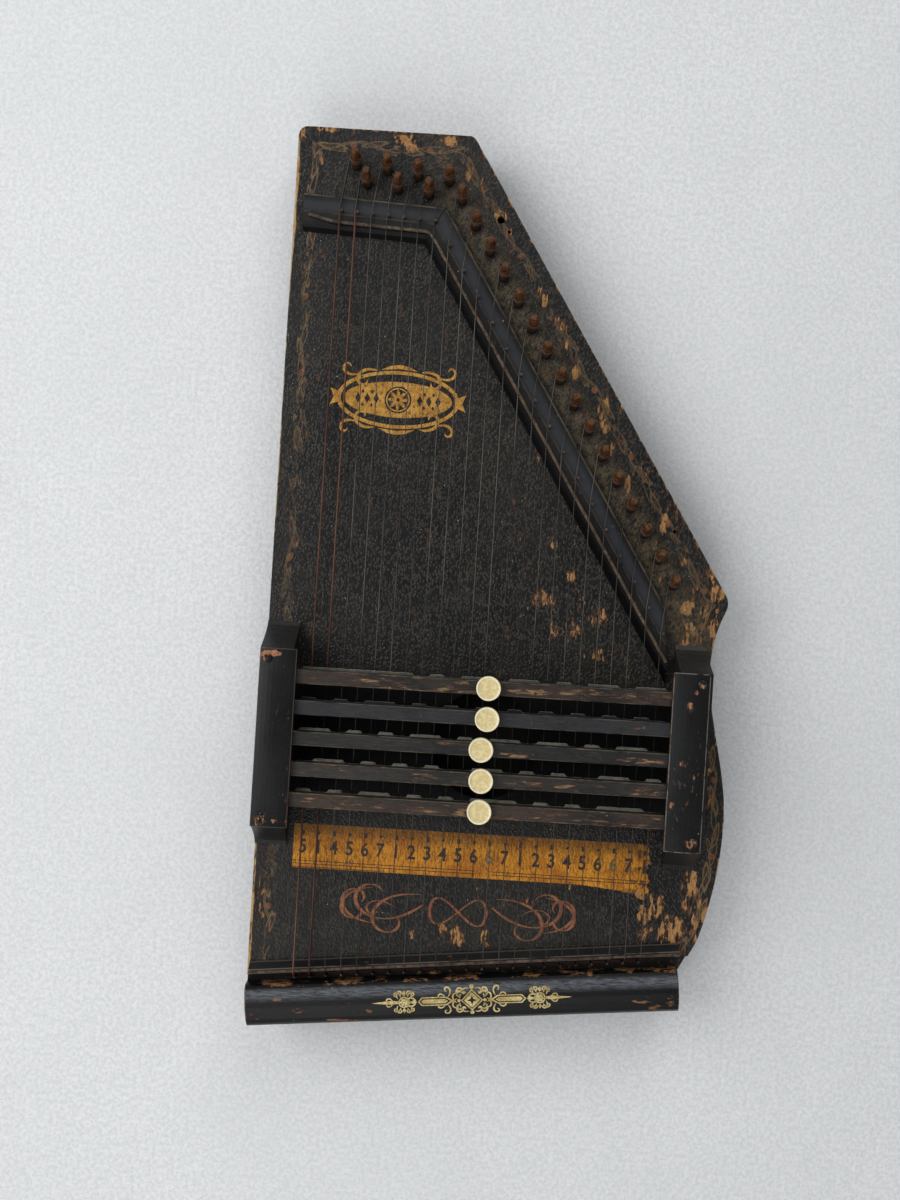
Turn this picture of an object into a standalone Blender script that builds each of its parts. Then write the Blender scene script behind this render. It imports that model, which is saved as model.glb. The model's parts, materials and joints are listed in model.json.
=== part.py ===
"""An autoharp: a flat zither with five spring-loaded chord bars over twenty-three strings.

Metres, +Z up. +X runs along the chord bars from the bass side to the treble side, +Y runs along the
strings from the tail to the tuning pins. The origin is at the centre of the bounding box, on the
surface that the three feet stand on.
"""

import math

import bmesh
import bpy
from mathutils import Matrix, Vector

# Overall sizes
BODY_LENGTH = 0.4833
BODY_WIDTH = 0.2504
BODY_DEPTH = 0.0300

# Clearance that seated pieces keep from each other
GAP = 0.0003

# Outline of the body, measured from its box
TOP_EDGE = 0.0942
TOP_LEFT_RADIUS = 0.0050
TOP_RIGHT_RADIUS = 0.0045
POINT_INSET = 0.0037
POINT_HEIGHT = 0.2415
POINT_RADIUS = 0.0090
POINT_FREE_SHARE = 0.6
WAIST_INSET = 0.0124
WAIST_HEIGHT = 0.2060
BULGE_HEIGHT = 0.1250
SHOULDER_INSET = 0.0105
SHOULDER_HEIGHT = 0.0594
TREBLE_STEPS = 7

# Boards and frame
BACK_THICKNESS = 0.0030
SOUNDBOARD_THICKNESS = 0.0030
SIDE_WIDTH = 0.0110
PIN_BLOCK_LOWER_END = 0.2205
TAIL_BLOCK_FRONT = 0.0120
BRACE_WIDTH = 0.0080
BRACE_HEIGHT = 0.0100
BRACE_PLACE = 0.2900

# Feet
FOOT_HEIGHT = 0.0060
FOOT_RADIUS = 0.0070
FOOT_NECK_RADIUS = 0.0055
FOOT_TOP_INSET = (0.0650, 0.0370)
FOOT_TAIL_LEFT_INSET = (0.0260, 0.0400)
FOOT_TAIL_RIGHT_INSET = (0.0300, 0.0900)
FOOT_PROFILE = ((FOOT_NECK_RADIUS, 0.0), (FOOT_RADIUS, 0.35), (FOOT_RADIUS, 0.7), (FOOT_NECK_RADIUS, 1.0))

# End rail over the tail block
RAIL_WIDTH = 0.0228
RAIL_HEEL_SHARE = 0.2
RAIL_ANGLE = math.radians(5.5)
RAIL_END_INSET = 0.0211
RAIL_FRONT_HEIGHT = 0.0045
RAIL_CROWN_HEIGHT = 0.0093
RAIL_BACK_HEIGHT = 0.0015
RAIL_CROWN_SHARE = 0.38

# Lower bridge, in front of the recess that holds the hitch pins
RECESS_WIDTH = 0.0038
LOWER_BRIDGE_ANGLE = math.radians(5.95)
LOWER_BRIDGE_WIDTH = 0.0074
LOWER_BRIDGE_HEIGHT = 0.0050
LOWER_ROD_RADIUS = 0.0007
LOWER_ROD_PLACE = 0.0044

# Strings, counted from the bass side
STRING_COUNT = 23
STRING_PITCH = 0.00835
FIRST_STRING = 0.0254
WOUND_STRINGS = 2
PLAIN_RADIUS = 0.00025
WOUND_RADIUS = 0.00055
STRING_SIDES = 6
HITCH_PLACE = 0.0093
HITCH_PIN_RADIUS = 0.0007
HITCH_PIN_HEIGHT = 0.0012
HITCH_RISE = 0.0024
HITCH_STRIP_WIDTH = 0.0020
HITCH_STRIP_THICKNESS = 0.0009

# Upper bridge, whose guide pins stand on a short line near the top and a long line by the slant
TOP_GUIDE_INSET = 0.0465
TOP_GUIDE_TILT = math.radians(2.5)
SLANT_GUIDE_INSET = 0.0405
UPPER_BRIDGE_OUTER = 0.0083
UPPER_BRIDGE_INNER = 0.0110
UPPER_BRIDGE_HEIGHT = 0.0054
UPPER_BRIDGE_STEP = 0.0005
UPPER_BRIDGE_LEFT_INSET = 0.0055
UPPER_BRIDGE_PAST_GUIDE = 0.0018
GUIDE_PIN_RADIUS = 0.0007
GUIDE_PIN_HEIGHT = 0.0092
GUIDE_PIN_SIDE_STEP = 0.0012
UPPER_ROD_RADIUS = 0.0009
UPPER_ROD_PLACE = 0.0059
UPPER_ROD_BEND = 0.0060

# Tuning pins
PIN_RADIUS = 0.00245
PIN_CLEARANCE = 0.00035
PIN_EXPOSED = 0.0165
PIN_EMBEDDED = 0.0200
PIN_SQUARE_LENGTH = 0.0070
PIN_SQUARE_HALF = 0.0019
PIN_SHOULDER_LENGTH = 0.0012
PIN_CROWN_LENGTH = 0.0006
PIN_LEAN = math.radians(11.0)
PIN_SIDES = 8
PIN_ROW_INSET = 0.0200
PIN_ROW_STEP = 0.0088
PIN_ROW_TILT = math.radians(6.2)
OUTER_PIN_SIDE_STEP = 0.0068
INNER_PIN_SIDE_STEP = 0.0047
SLANT_PIN_SIDE_STEP = 0.0059
SLANT_PIN_INSET = 0.0226
STRING_HEIGHT_AT_PIN = 0.0066

# Holes in the soundboard
SOUNDHOLE_RADIUS = 0.0290
SOUNDHOLE_PLACE = 0.1195
SOUNDHOLE_SIDES = 40
# Each small hole near the slanted side: distance from the top corner, inset and radius
PEG_HOLES = ((0.0462, 0.0090, 0.00215), (0.0540, 0.0082, 0.00100), (0.2378, 0.0077, 0.00100))
PEG_HOLE_DEPTH = 0.0140

# Holders of the chord bars
HOLDER_PLACE = 0.1576
HOLDER_WIDTH = 0.0170
HOLDER_FOOT_REACH = 0.0278
HOLDER_TOP_REACH = 0.01425
HOLDER_HEIGHT = 0.0233
HOLDER_FOOT_EDGE = 0.0012
HOLDER_HOLLOW = 1.5
RIGHT_HOLDER_INSET = 0.0151
COVER_WIDTH = 0.0190
COVER_THICKNESS = 0.0047
COVER_EDGE_THICKNESS = 0.0034
COVER_STEPS = 8
LEFT_COVER_SHIFT = 0.0014
RIGHT_COVER_SHIFT = 0.0031
SCREW_END_INSET = 0.0054
SCREW_EDGE_INSET = 0.0043
SCREW_HEAD_RADIUS = 0.0024
SCREW_HEAD_HEIGHT = 0.0010
SCREW_HEAD_SINK = 0.0009
SCREW_SHANK_RADIUS = 0.0013
SCREW_POINT_LENGTH = 0.0015
SCREW_LENGTH = 0.0100
SCREW_CLEARANCE = 0.0004

# Chord bars
BAR_COUNT = 5
BAR_PITCH = 0.0160
BAR_WIDTH = 0.0074
BAR_HEIGHT = 0.0076
BAR_TRAVEL = 0.0030
BAR_SIDE_CLEARANCE = 0.0004
BAR_END_WALL = 0.0034
BAR_END_CLEARANCE = 0.0006
BAR_BEVEL = 0.0005
FELT_THICKNESS = 0.0036
FELT_BACKING = 0.0012
FELT_TAB_HALF = 0.00375
FELT_PROUD = 0.0011
FELT_INSET = 0.0003
FELT_END_MARGIN = 0.0050

# Buttons on the chord bars
BUTTON_RADIUS = 0.00635
BUTTON_HEIGHT = 0.0038
BUTTON_RIM = 0.0010
BUTTON_EDGE = 0.0004
BUTTON_DISH = 0.0005
BUTTON_TENON_RADIUS = 0.0014
BUTTON_TENON_LENGTH = 0.0040
BUTTON_TENON_CLEARANCE = 0.0004
BUTTON_PLACE = 0.1183
BUTTON_SHIFTS = (0.0008, 0.0010, -0.0012, -0.0003, -0.0002)
BUTTON_SIDES = 24

# Springs under the ends of the chord bars
SPRING_WIRE_RADIUS = 0.00035
SPRING_RADIUS = 0.0023
SPRING_TURNS = 4
SPRING_POINTS_PER_TURN = 8
SPRING_CLEARANCE = 0.0006
SPRING_SEAT_WIDTH = 0.0058
SPRING_SEAT_THICKNESS = 0.0008

# Notes of the strings and of the chord that each bar leaves sounding, with its root first
NOTES = ("g", "c", "f", "g", "a", "b", "c", "d", "e", "f", "g", "a",
         "a#", "b", "c", "d", "e", "f", "g", "a", "a#", "b", "c")
CHORDS = (("a#", "d", "f"), ("c", "e", "g", "a#"), ("f", "a", "c"), ("g", "b", "d", "f"), ("c", "e", "g"))
BASS_STRINGS = 3

# Edges of the box and levels of the build
LEFT = -BODY_WIDTH / 2
RIGHT = BODY_WIDTH / 2
TOP = BODY_LENGTH / 2
TAIL = -BODY_LENGTH / 2
BACK_BOTTOM = FOOT_HEIGHT + GAP
BACK_TOP = BACK_BOTTOM + BACK_THICKNESS
BOARD_TOP = BACK_BOTTOM + BODY_DEPTH
BOARD_BOTTOM = BOARD_TOP - SOUNDBOARD_THICKNESS
FRAME_BOTTOM = BACK_TOP + GAP
FRAME_TOP = BOARD_BOTTOM - GAP
BASE = BOARD_TOP + GAP
HOLDER_TOP = BOARD_TOP + HOLDER_HEIGHT
BAR_SPAN = BAR_PITCH * (BAR_COUNT - 1)
HOLDER_BASE_LENGTH = BAR_SPAN + 2 * HOLDER_FOOT_REACH
HOLDER_TOP_LENGTH = BAR_SPAN + 2 * HOLDER_TOP_REACH
COVER_BOTTOM = HOLDER_TOP + GAP
BAR_TOP = HOLDER_TOP
BAR_BOTTOM = BAR_TOP - BAR_HEIGHT
FELT_TOP = BAR_BOTTOM - GAP
FELT_BOTTOM = FELT_TOP - FELT_THICKNESS
UPPER_ROD_HEIGHT = BASE + UPPER_BRIDGE_HEIGHT - UPPER_BRIDGE_STEP + GAP + UPPER_ROD_RADIUS
LOWER_ROD_HEIGHT = BASE + LOWER_BRIDGE_HEIGHT + GAP + LOWER_ROD_RADIUS

# Corners that the straight edges meet at
TOP_CORNER = Vector((LEFT + TOP_EDGE, TOP))
POINT = Vector((RIGHT - POINT_INSET, TAIL + POINT_HEIGHT))
SLANT = (POINT - TOP_CORNER).normalized()
RAIL_ALONG = Vector((math.cos(RAIL_ANGLE), math.sin(RAIL_ANGLE)))
RAIL_BACK = Vector((math.sin(RAIL_ANGLE), -math.cos(RAIL_ANGLE)))
RAIL_LEFT = Vector((LEFT, TAIL + RAIL_WIDTH * math.cos(RAIL_ANGLE)))
RAIL_LENGTH = (RIGHT - RAIL_END_INSET - LEFT) / math.cos(RAIL_ANGLE)
HOLDER_Y = TAIL + HOLDER_PLACE


def clear_scene():
    for old in list(bpy.data.objects):
        bpy.data.objects.remove(old, do_unlink=True)


def make_material(name, colour, roughness, metallic=0.0):
    material = bpy.data.materials.new(name)
    material.use_nodes = True
    shader = material.node_tree.nodes["Principled BSDF"]
    shader.inputs["Base Color"].default_value = (*colour, 1.0)
    shader.inputs["Roughness"].default_value = roughness
    shader.inputs["Metallic"].default_value = metallic
    material.diffuse_color = (*colour, 1.0)
    return material


def make_materials():
    return {
        "black_lacquer": make_material("black_lacquer", (0.022, 0.021, 0.020), 0.42),
        "bare_wood": make_material("bare_wood", (0.36, 0.22, 0.11), 0.65),
        "worn_black": make_material("worn_black", (0.055, 0.045, 0.038), 0.55),
        "rusty_steel": make_material("rusty_steel", (0.16, 0.075, 0.040), 0.70, 0.5),
        "string_wire": make_material("string_wire", (0.42, 0.36, 0.30), 0.40, 1.0),
        "spring_wire": make_material("spring_wire", (0.50, 0.49, 0.46), 0.35, 1.0),
        "felt": make_material("felt", (0.24, 0.25, 0.20), 0.95),
        "ivory": make_material("ivory", (0.80, 0.72, 0.48), 0.35),
    }


def finish_object(name, bm, material, smooth=False):
    """Makes an object of a bmesh, with its faces pointing out."""
    bmesh.ops.recalc_face_normals(bm, faces=bm.faces)
    mesh = bpy.data.meshes.new(name)
    bm.to_mesh(mesh)
    bm.free()
    mesh.materials.append(material)
    if smooth:
        mesh.shade_smooth()
        mesh.set_sharp_from_angle(angle=math.radians(40))
    made = bpy.data.objects.new(name, mesh)
    bpy.context.scene.collection.objects.link(made)
    return made


def add_loft(bm, rings):
    """Skins rings of equally many points, and closes both ends."""
    made = [[bm.verts.new(point) for point in ring] for ring in rings]
    count = len(rings[0])
    for first, second in zip(made, made[1:]):
        for i in range(count):
            j = (i + 1) % count
            bm.faces.new((first[i], first[j], second[j], second[i]))
    bm.faces.new(made[0])
    bm.faces.new(list(reversed(made[-1])))


def add_prism(bm, outline, bottom, top):
    add_loft(bm, [[(x, y, z) for x, y in outline] for z in (bottom, top)])


def add_box(bm, low, high):
    corners = ((low[0], low[1]), (high[0], low[1]), (high[0], high[1]), (low[0], high[1]))
    add_prism(bm, corners, low[2], high[2])


def add_cylinder(bm, centre, radius, bottom, top, sides):
    turns = [2 * math.pi * i / sides for i in range(sides)]
    ring = [(centre[0] + radius * math.cos(a), centre[1] + radius * math.sin(a)) for a in turns]
    add_prism(bm, ring, bottom, top)


def add_tube(bm, route, radius, sides):
    """A round tube along a route of points, with flat closed ends."""
    points = [Vector(point) for point in route]
    rings = []
    side = None
    for i, point in enumerate(points):
        ahead = points[min(i + 1, len(points) - 1)] - points[max(i - 1, 0)]
        ahead.normalize()
        if side is None:
            side = ahead.orthogonal()
        side = (side - ahead * side.dot(ahead)).normalized()
        up = ahead.cross(side)
        turns = [2 * math.pi * k / sides for k in range(sides)]
        rings.append([point + radius * (side * math.cos(a) + up * math.sin(a)) for a in turns])
    add_loft(bm, rings)


def prism(name, outline, bottom, top, material):
    bm = bmesh.new()
    add_prism(bm, outline, bottom, top)
    return finish_object(name, bm, material)


def cutter(name, bm):
    """A helper that cuts, and is no part of the object."""
    bmesh.ops.recalc_face_normals(bm, faces=bm.faces)
    mesh = bpy.data.meshes.new(name)
    bm.to_mesh(mesh)
    bm.free()
    made = bpy.data.objects.new(name, mesh)
    made.hide_render = True
    made.display_type = "WIRE"
    bpy.context.scene.collection.objects.link(made)
    return made


def combine(target, other, operation):
    modifier = target.modifiers.new(other.name, "BOOLEAN")
    modifier.operation = operation
    modifier.solver = "EXACT"
    modifier.object = other


def cut(target, other):
    combine(target, other, "DIFFERENCE")


def join(target, other):
    combine(target, other, "UNION")


def round_corner(before, corner, after, radius, steps=4):
    """Points of an arc that rounds the corner between two straight runs."""
    corner = Vector(corner)
    back = (Vector(before) - corner).normalized()
    on = (Vector(after) - corner).normalized()
    half = back.angle(on) / 2
    reach = radius / math.tan(half)
    centre = corner + (back + on).normalized() * (radius / math.sin(half))
    start = corner + back * reach - centre
    end = corner + on * reach - centre
    points = []
    for i in range(steps + 1):
        share = i / steps
        arm = (start * math.sin((1 - share) * start.angle(end)) + end * math.sin(share * start.angle(end)))
        points.append(centre + arm.normalized() * radius)
    return points


def clip(outline, place, keep):
    """The part of an outline on one side of a line, where keep points to that side."""
    place = Vector(place)
    keep = Vector(keep)
    kept = []
    for i, point in enumerate(outline):
        here = Vector(point)
        following = Vector(outline[(i + 1) % len(outline)])
        here_side = (here - place).dot(keep)
        next_side = (following - place).dot(keep)
        if here_side >= 0:
            kept.append(here)
        if here_side * next_side < 0:
            kept.append(here.lerp(following, here_side / (here_side - next_side)))
    return kept


def slant_y(x, inset):
    """Height of the line that runs this far inside the slanted edge."""
    along = (x - TOP_CORNER.x) / SLANT.x
    return TOP_CORNER.y + along * SLANT.y - inset / SLANT.x


def treble_x(y):
    """The treble edge: a hollow below the point, a long swell, and a fall to the shoulder."""
    waist_y = TAIL + WAIST_HEIGHT
    bulge_y = TAIL + BULGE_HEIGHT
    shoulder_y = TAIL + SHOULDER_HEIGHT
    if y > waist_y:
        share = (y - waist_y) / (POINT.y - waist_y)
        return RIGHT - WAIST_INSET + (WAIST_INSET - POINT_INSET) * share * share
    if y > bulge_y:
        share = (waist_y - y) / (waist_y - bulge_y)
        return RIGHT - WAIST_INSET * (1 - share * share * (3 - 2 * share))
    share = (bulge_y - y) / (bulge_y - shoulder_y)
    return RIGHT - SHOULDER_INSET * share * share


def treble_edge(high, low, inset=0.0):
    """Points down the treble edge, close together where it bends."""
    bends = (TAIL + WAIST_HEIGHT, TAIL + BULGE_HEIGHT)
    marks = [high] + [bend for bend in bends if low < bend < high] + [low]
    levels = [marks[0]]
    for upper, lower in zip(marks, marks[1:]):
        levels += [upper + (lower - upper) * (i + 1) / TREBLE_STEPS for i in range(TREBLE_STEPS)]
    return [Vector((treble_x(y) - inset, y)) for y in levels]


def tail_y(x, rise, angle=LOWER_BRIDGE_ANGLE):
    """Height of the line that starts this far above the rail's front corner on the bass side."""
    return RAIL_LEFT.y + rise + (x - LEFT) * math.tan(angle)


def body_outline():
    """The whole body, counterclockwise from the outer bass corner of the tail."""
    rail_back_left = RAIL_LEFT + RAIL_BACK * RAIL_WIDTH
    rail_right = RAIL_LEFT + RAIL_ALONG * RAIL_LENGTH
    rail_back_right = rail_right + RAIL_BACK * RAIL_WIDTH
    heel = rail_right + RAIL_BACK * RAIL_HEEL_SHARE * RAIL_WIDTH
    edge = treble_edge(POINT.y, TAIL + SHOULDER_HEIGHT)
    below_point = next(i for i, p in enumerate(edge) if POINT.y - p.y > POINT_FREE_SHARE * POINT_RADIUS)
    bass_corner = Vector((LEFT, TOP))
    points = [rail_back_left, rail_back_right, heel]
    points += reversed(edge[below_point:])
    points += round_corner(edge[below_point], POINT, TOP_CORNER, POINT_RADIUS)
    points += round_corner(POINT, TOP_CORNER, bass_corner, TOP_RIGHT_RADIUS)
    points += round_corner(TOP_CORNER, bass_corner, RAIL_LEFT, TOP_LEFT_RADIUS)
    points.append(RAIL_LEFT)
    return points


def string_x(index):
    return LEFT + FIRST_STRING + STRING_PITCH * index


def string_radius(index):
    return WOUND_RADIUS if index < WOUND_STRINGS else PLAIN_RADIUS


def top_line_y(x, inward=0.0):
    """Height of the line that runs this far inside the short row of guide pins."""
    start = TOP - TOP_GUIDE_INSET - (x - string_x(0)) * math.tan(TOP_GUIDE_TILT)
    return start - inward / math.cos(TOP_GUIDE_TILT)


def guide_line_y(x, inward=0.0):
    """The two guide lines as one, bent where they cross."""
    return min(top_line_y(x, inward), slant_y(x, SLANT_GUIDE_INSET + inward))


def on_top_line(index):
    x = string_x(index)
    return top_line_y(x) < slant_y(x, SLANT_GUIDE_INSET)


def bend_point(inward):
    """Where the short line and the slanted line cross, this far inside the guide pins."""
    slope_top = -math.tan(TOP_GUIDE_TILT)
    slope_slant = SLANT.y / SLANT.x
    at_zero = slant_y(0.0, SLANT_GUIDE_INSET + inward) - top_line_y(0.0, inward)
    x = at_zero / (slope_top - slope_slant)
    return Vector((x, top_line_y(x, inward)))


def guide_pin(index):
    x = string_x(index) + GUIDE_PIN_SIDE_STEP
    return Vector((x, guide_line_y(x)))


def tuning_pin(index):
    """Where a tuning pin leaves the soundboard: two staggered rows, then one along the slant."""
    if not on_top_line(index):
        x = string_x(index) + SLANT_PIN_SIDE_STEP
        return Vector((x, slant_y(x, SLANT_PIN_INSET)))
    outer = index % 2 == 0
    x = string_x(index) + (OUTER_PIN_SIDE_STEP if outer else INNER_PIN_SIDE_STEP)
    from_first = x - string_x(0) - OUTER_PIN_SIDE_STEP
    row = TOP - PIN_ROW_INSET - (0.0 if outer else PIN_ROW_STEP)
    return Vector((x, row - from_first * math.tan(PIN_ROW_TILT)))


def bar_y(index):
    return HOLDER_Y + BAR_PITCH * ((BAR_COUNT - 1) / 2 - index)


def holder_span(side):
    """Inner and outer face of a bar holder."""
    if side == "left":
        return LEFT + HOLDER_WIDTH, LEFT
    outer = RIGHT - RIGHT_HOLDER_INSET
    return outer - HOLDER_WIDTH, outer


def bar_end(side):
    inner, outer = holder_span(side)
    inward = math.copysign(1.0, inner - outer)
    return outer + inward * BAR_END_WALL


def pin_holes(name, reach):
    """One leaning drill for each tuning pin."""
    bm = bmesh.new()
    for i in range(STRING_COUNT):
        drill = bmesh.new()
        add_cylinder(drill, (0, 0), PIN_RADIUS + PIN_CLEARANCE, -reach, PIN_CLEARANCE * 10, PIN_SIDES)
        place = tuning_pin(i)
        turn = Matrix.Translation((place.x, place.y, BOARD_TOP)) @ Matrix.Rotation(-PIN_LEAN, 4, "X")
        bmesh.ops.transform(drill, matrix=turn, verts=drill.verts)
        piece = bpy.data.meshes.new("drill")
        drill.to_mesh(piece)
        drill.free()
        bm.from_mesh(piece)
        bpy.data.meshes.remove(piece)
    return cutter(name, bm)


def peg_holes(name, depth):
    bm = bmesh.new()
    inward = Vector((SLANT.y, -SLANT.x))
    for along, inset, radius in PEG_HOLES:
        place = TOP_CORNER + SLANT * along + inward * inset
        add_cylinder(bm, place, radius, BOARD_TOP - depth, BOARD_TOP + GAP * 10, 12)
    return cutter(name, bm)


def make_boards(materials):
    outline = body_outline()
    back = prism("back_board", outline, BACK_BOTTOM, BACK_TOP, materials["black_lacquer"])
    recess = (LEFT, tail_y(LEFT, RECESS_WIDTH))
    up = (-math.sin(LOWER_BRIDGE_ANGLE), math.cos(LOWER_BRIDGE_ANGLE))
    front = clip(outline, recess, up)
    board = prism("soundboard", front, BOARD_BOTTOM, BOARD_TOP, materials["black_lacquer"])
    bm = bmesh.new()
    centre = (LEFT + SOUNDHOLE_PLACE, HOLDER_Y)
    add_cylinder(bm, centre, SOUNDHOLE_RADIUS, BOARD_BOTTOM - GAP, BOARD_TOP + GAP, SOUNDHOLE_SIDES)
    cut(board, cutter("soundhole_cutter", bm))
    cut(board, pin_holes("board_pin_holes", 3 * SOUNDBOARD_THICKNESS))
    cut(board, peg_holes("board_peg_holes", 2 * SOUNDBOARD_THICKNESS))
    return back, board


def make_pin_block(materials):
    """The bent block under the tuning pins, which keeps to the outside of the upper bridge's inner edge."""
    inward = UPPER_BRIDGE_INNER
    lower = TAIL + PIN_BLOCK_LOWER_END
    block = clip(body_outline(), (0, lower), (0, 1))
    made = prism("pin_block", block, FRAME_BOTTOM, FRAME_TOP, materials["bare_wood"])
    bend = bend_point(inward)
    slope = SLANT.y / SLANT.x
    foot_x = bend.x + (lower - BRACE_WIDTH - bend.y) / slope
    hollow = [
        (LEFT - SIDE_WIDTH, lower - BRACE_WIDTH),
        (foot_x, lower - BRACE_WIDTH),
        bend,
        (LEFT - SIDE_WIDTH, top_line_y(LEFT - SIDE_WIDTH, inward)),
    ]
    bm = bmesh.new()
    add_prism(bm, hollow, FRAME_BOTTOM - GAP, FRAME_TOP + GAP)
    cut(made, cutter("pin_block_hollow", bm))
    cut(made, pin_holes("block_pin_holes", PIN_EMBEDDED + 2 * PIN_CLEARANCE))
    cut(made, peg_holes("block_peg_holes", PEG_HOLE_DEPTH))
    return made


def make_frame(materials):
    """The tail block, the two sides and the brace between the boards."""
    wood = materials["bare_wood"]
    outline = body_outline()
    front = RECESS_WIDTH + LOWER_BRIDGE_WIDTH + TAIL_BLOCK_FRONT
    down = Vector((math.sin(LOWER_BRIDGE_ANGLE), -math.cos(LOWER_BRIDGE_ANGLE)))
    tail = clip(outline, (LEFT, tail_y(LEFT, front)), down)
    prism("tail_block", tail, FRAME_BOTTOM, FRAME_TOP, wood)

    inner = LEFT + SIDE_WIDTH
    block_y = top_line_y(LEFT, UPPER_BRIDGE_INNER)
    inner_y = top_line_y(inner, UPPER_BRIDGE_INNER)
    bass = [
        (LEFT, tail_y(LEFT, front) + GAP),
        (inner, tail_y(inner, front) + GAP),
        (inner, inner_y - GAP),
        (LEFT, block_y - GAP),
    ]
    prism("bass_side", bass, FRAME_BOTTOM, FRAME_TOP, wood)

    high = TAIL + PIN_BLOCK_LOWER_END - GAP
    low = tail_y(RIGHT - SIDE_WIDTH, front)
    outer = treble_edge(high, low - SIDE_WIDTH)
    strip = outer + list(reversed(treble_edge(high, low - SIDE_WIDTH, SIDE_WIDTH)))
    strip.reverse()
    treble = clip(strip, (LEFT, tail_y(LEFT, front) + GAP), -down)
    prism("treble_side", treble, FRAME_BOTTOM, FRAME_TOP, wood)

    brace_low = TAIL + BRACE_PLACE
    brace_high = brace_low + BRACE_WIDTH
    bend = bend_point(UPPER_BRIDGE_INNER)
    slope = SLANT.y / SLANT.x
    ends = [bend.x + (y - bend.y) / slope - 2 * GAP for y in (brace_low, brace_high)]
    brace = [(inner + GAP, brace_low), (ends[0], brace_low), (ends[1], brace_high), (inner + GAP, brace_high)]
    prism("cross_brace", brace, FRAME_TOP - BRACE_HEIGHT, FRAME_TOP, wood)


def make_feet(materials):
    places = {
        "foot_top": (LEFT + FOOT_TOP_INSET[0], TOP - FOOT_TOP_INSET[1]),
        "foot_tail_left": (LEFT + FOOT_TAIL_LEFT_INSET[0], TAIL + FOOT_TAIL_LEFT_INSET[1]),
        "foot_tail_right": (RIGHT - FOOT_TAIL_RIGHT_INSET[0], TAIL + FOOT_TAIL_RIGHT_INSET[1]),
    }
    for name, (x, y) in places.items():
        bm = bmesh.new()
        rings = []
        for radius, share in FOOT_PROFILE:
            turns = [math.pi * i / 8 for i in range(16)]
            rings.append([(radius * math.cos(a), radius * math.sin(a), share * FOOT_HEIGHT) for a in turns])
        add_loft(bm, rings)
        foot = finish_object(name, bm, materials["worn_black"], smooth=True)
        foot.location = (x, y, 0.0)


def make_end_rail(materials):
    """A moulding with a swelled top over the tail block."""
    steps = 10
    profile = [(0.0, FRAME_TOP + GAP)]
    crown = RAIL_CROWN_SHARE * RAIL_WIDTH
    for i in range(steps + 1):
        turn = math.pi * i / steps
        across = RAIL_WIDTH * (1 - math.cos(turn)) / 2
        edge = RAIL_FRONT_HEIGHT if across < crown else RAIL_BACK_HEIGHT
        run = crown if across < crown else RAIL_WIDTH - crown
        share = abs(across - crown) / run
        height = edge + (RAIL_CROWN_HEIGHT - edge) * math.sqrt(max(0.0, 1 - share * share))
        profile.append((across, BOARD_TOP + height))
    profile.append((RAIL_WIDTH, FRAME_TOP + GAP))
    rings = []
    for along in (0.0, RAIL_LENGTH):
        start = RAIL_LEFT + RAIL_ALONG * along
        rings.append([(*(start + RAIL_BACK * across), z) for across, z in profile])
    bm = bmesh.new()
    add_loft(bm, rings)
    return finish_object("end_rail", bm, materials["black_lacquer"], smooth=True)


def lower_bridge_ends():
    """Where the lower bridge starts and stops, a little inside the soundboard."""
    return LEFT + 4 * GAP, RIGHT - RAIL_END_INSET + 2 * GAP


def across_tail(x, distance, height):
    """A point this far from the lower bridge's front edge, toward the tail."""
    rise = RECESS_WIDTH + LOWER_BRIDGE_WIDTH - distance / math.cos(LOWER_BRIDGE_ANGLE)
    return (x, tail_y(x, rise), height)


def make_lower_bridge(materials):
    width = LOWER_BRIDGE_WIDTH * math.cos(LOWER_BRIDGE_ANGLE)
    flat = LOWER_BRIDGE_HEIGHT
    profile = ((0.0, 0.0), (0.0, 0.16 * flat), (0.46 * width, flat), (0.73 * width, flat),
               (0.82 * width, 0.84 * flat), (width, 0.2 * flat), (width, 0.0))
    ends = lower_bridge_ends()
    bm = bmesh.new()
    add_loft(bm, [[across_tail(x, d, BASE + h) for d, h in profile] for x in ends])
    finish_object("lower_bridge", bm, materials["black_lacquer"])
    bm = bmesh.new()
    inside = (ends[0] + 4 * GAP, ends[1] - 4 * GAP)
    route = [across_tail(x, LOWER_ROD_PLACE, LOWER_ROD_HEIGHT) for x in inside]
    add_tube(bm, route, LOWER_ROD_RADIUS, 8)
    finish_object("lower_bridge_rod", bm, materials["rusty_steel"], smooth=True)


def upper_bridge_right(inward):
    """The treble end of the upper bridge, which slopes a little outward as it nears the strings."""
    return string_x(STRING_COUNT - 1) + GUIDE_PIN_SIDE_STEP + UPPER_BRIDGE_PAST_GUIDE + 0.2 * inward


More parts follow.
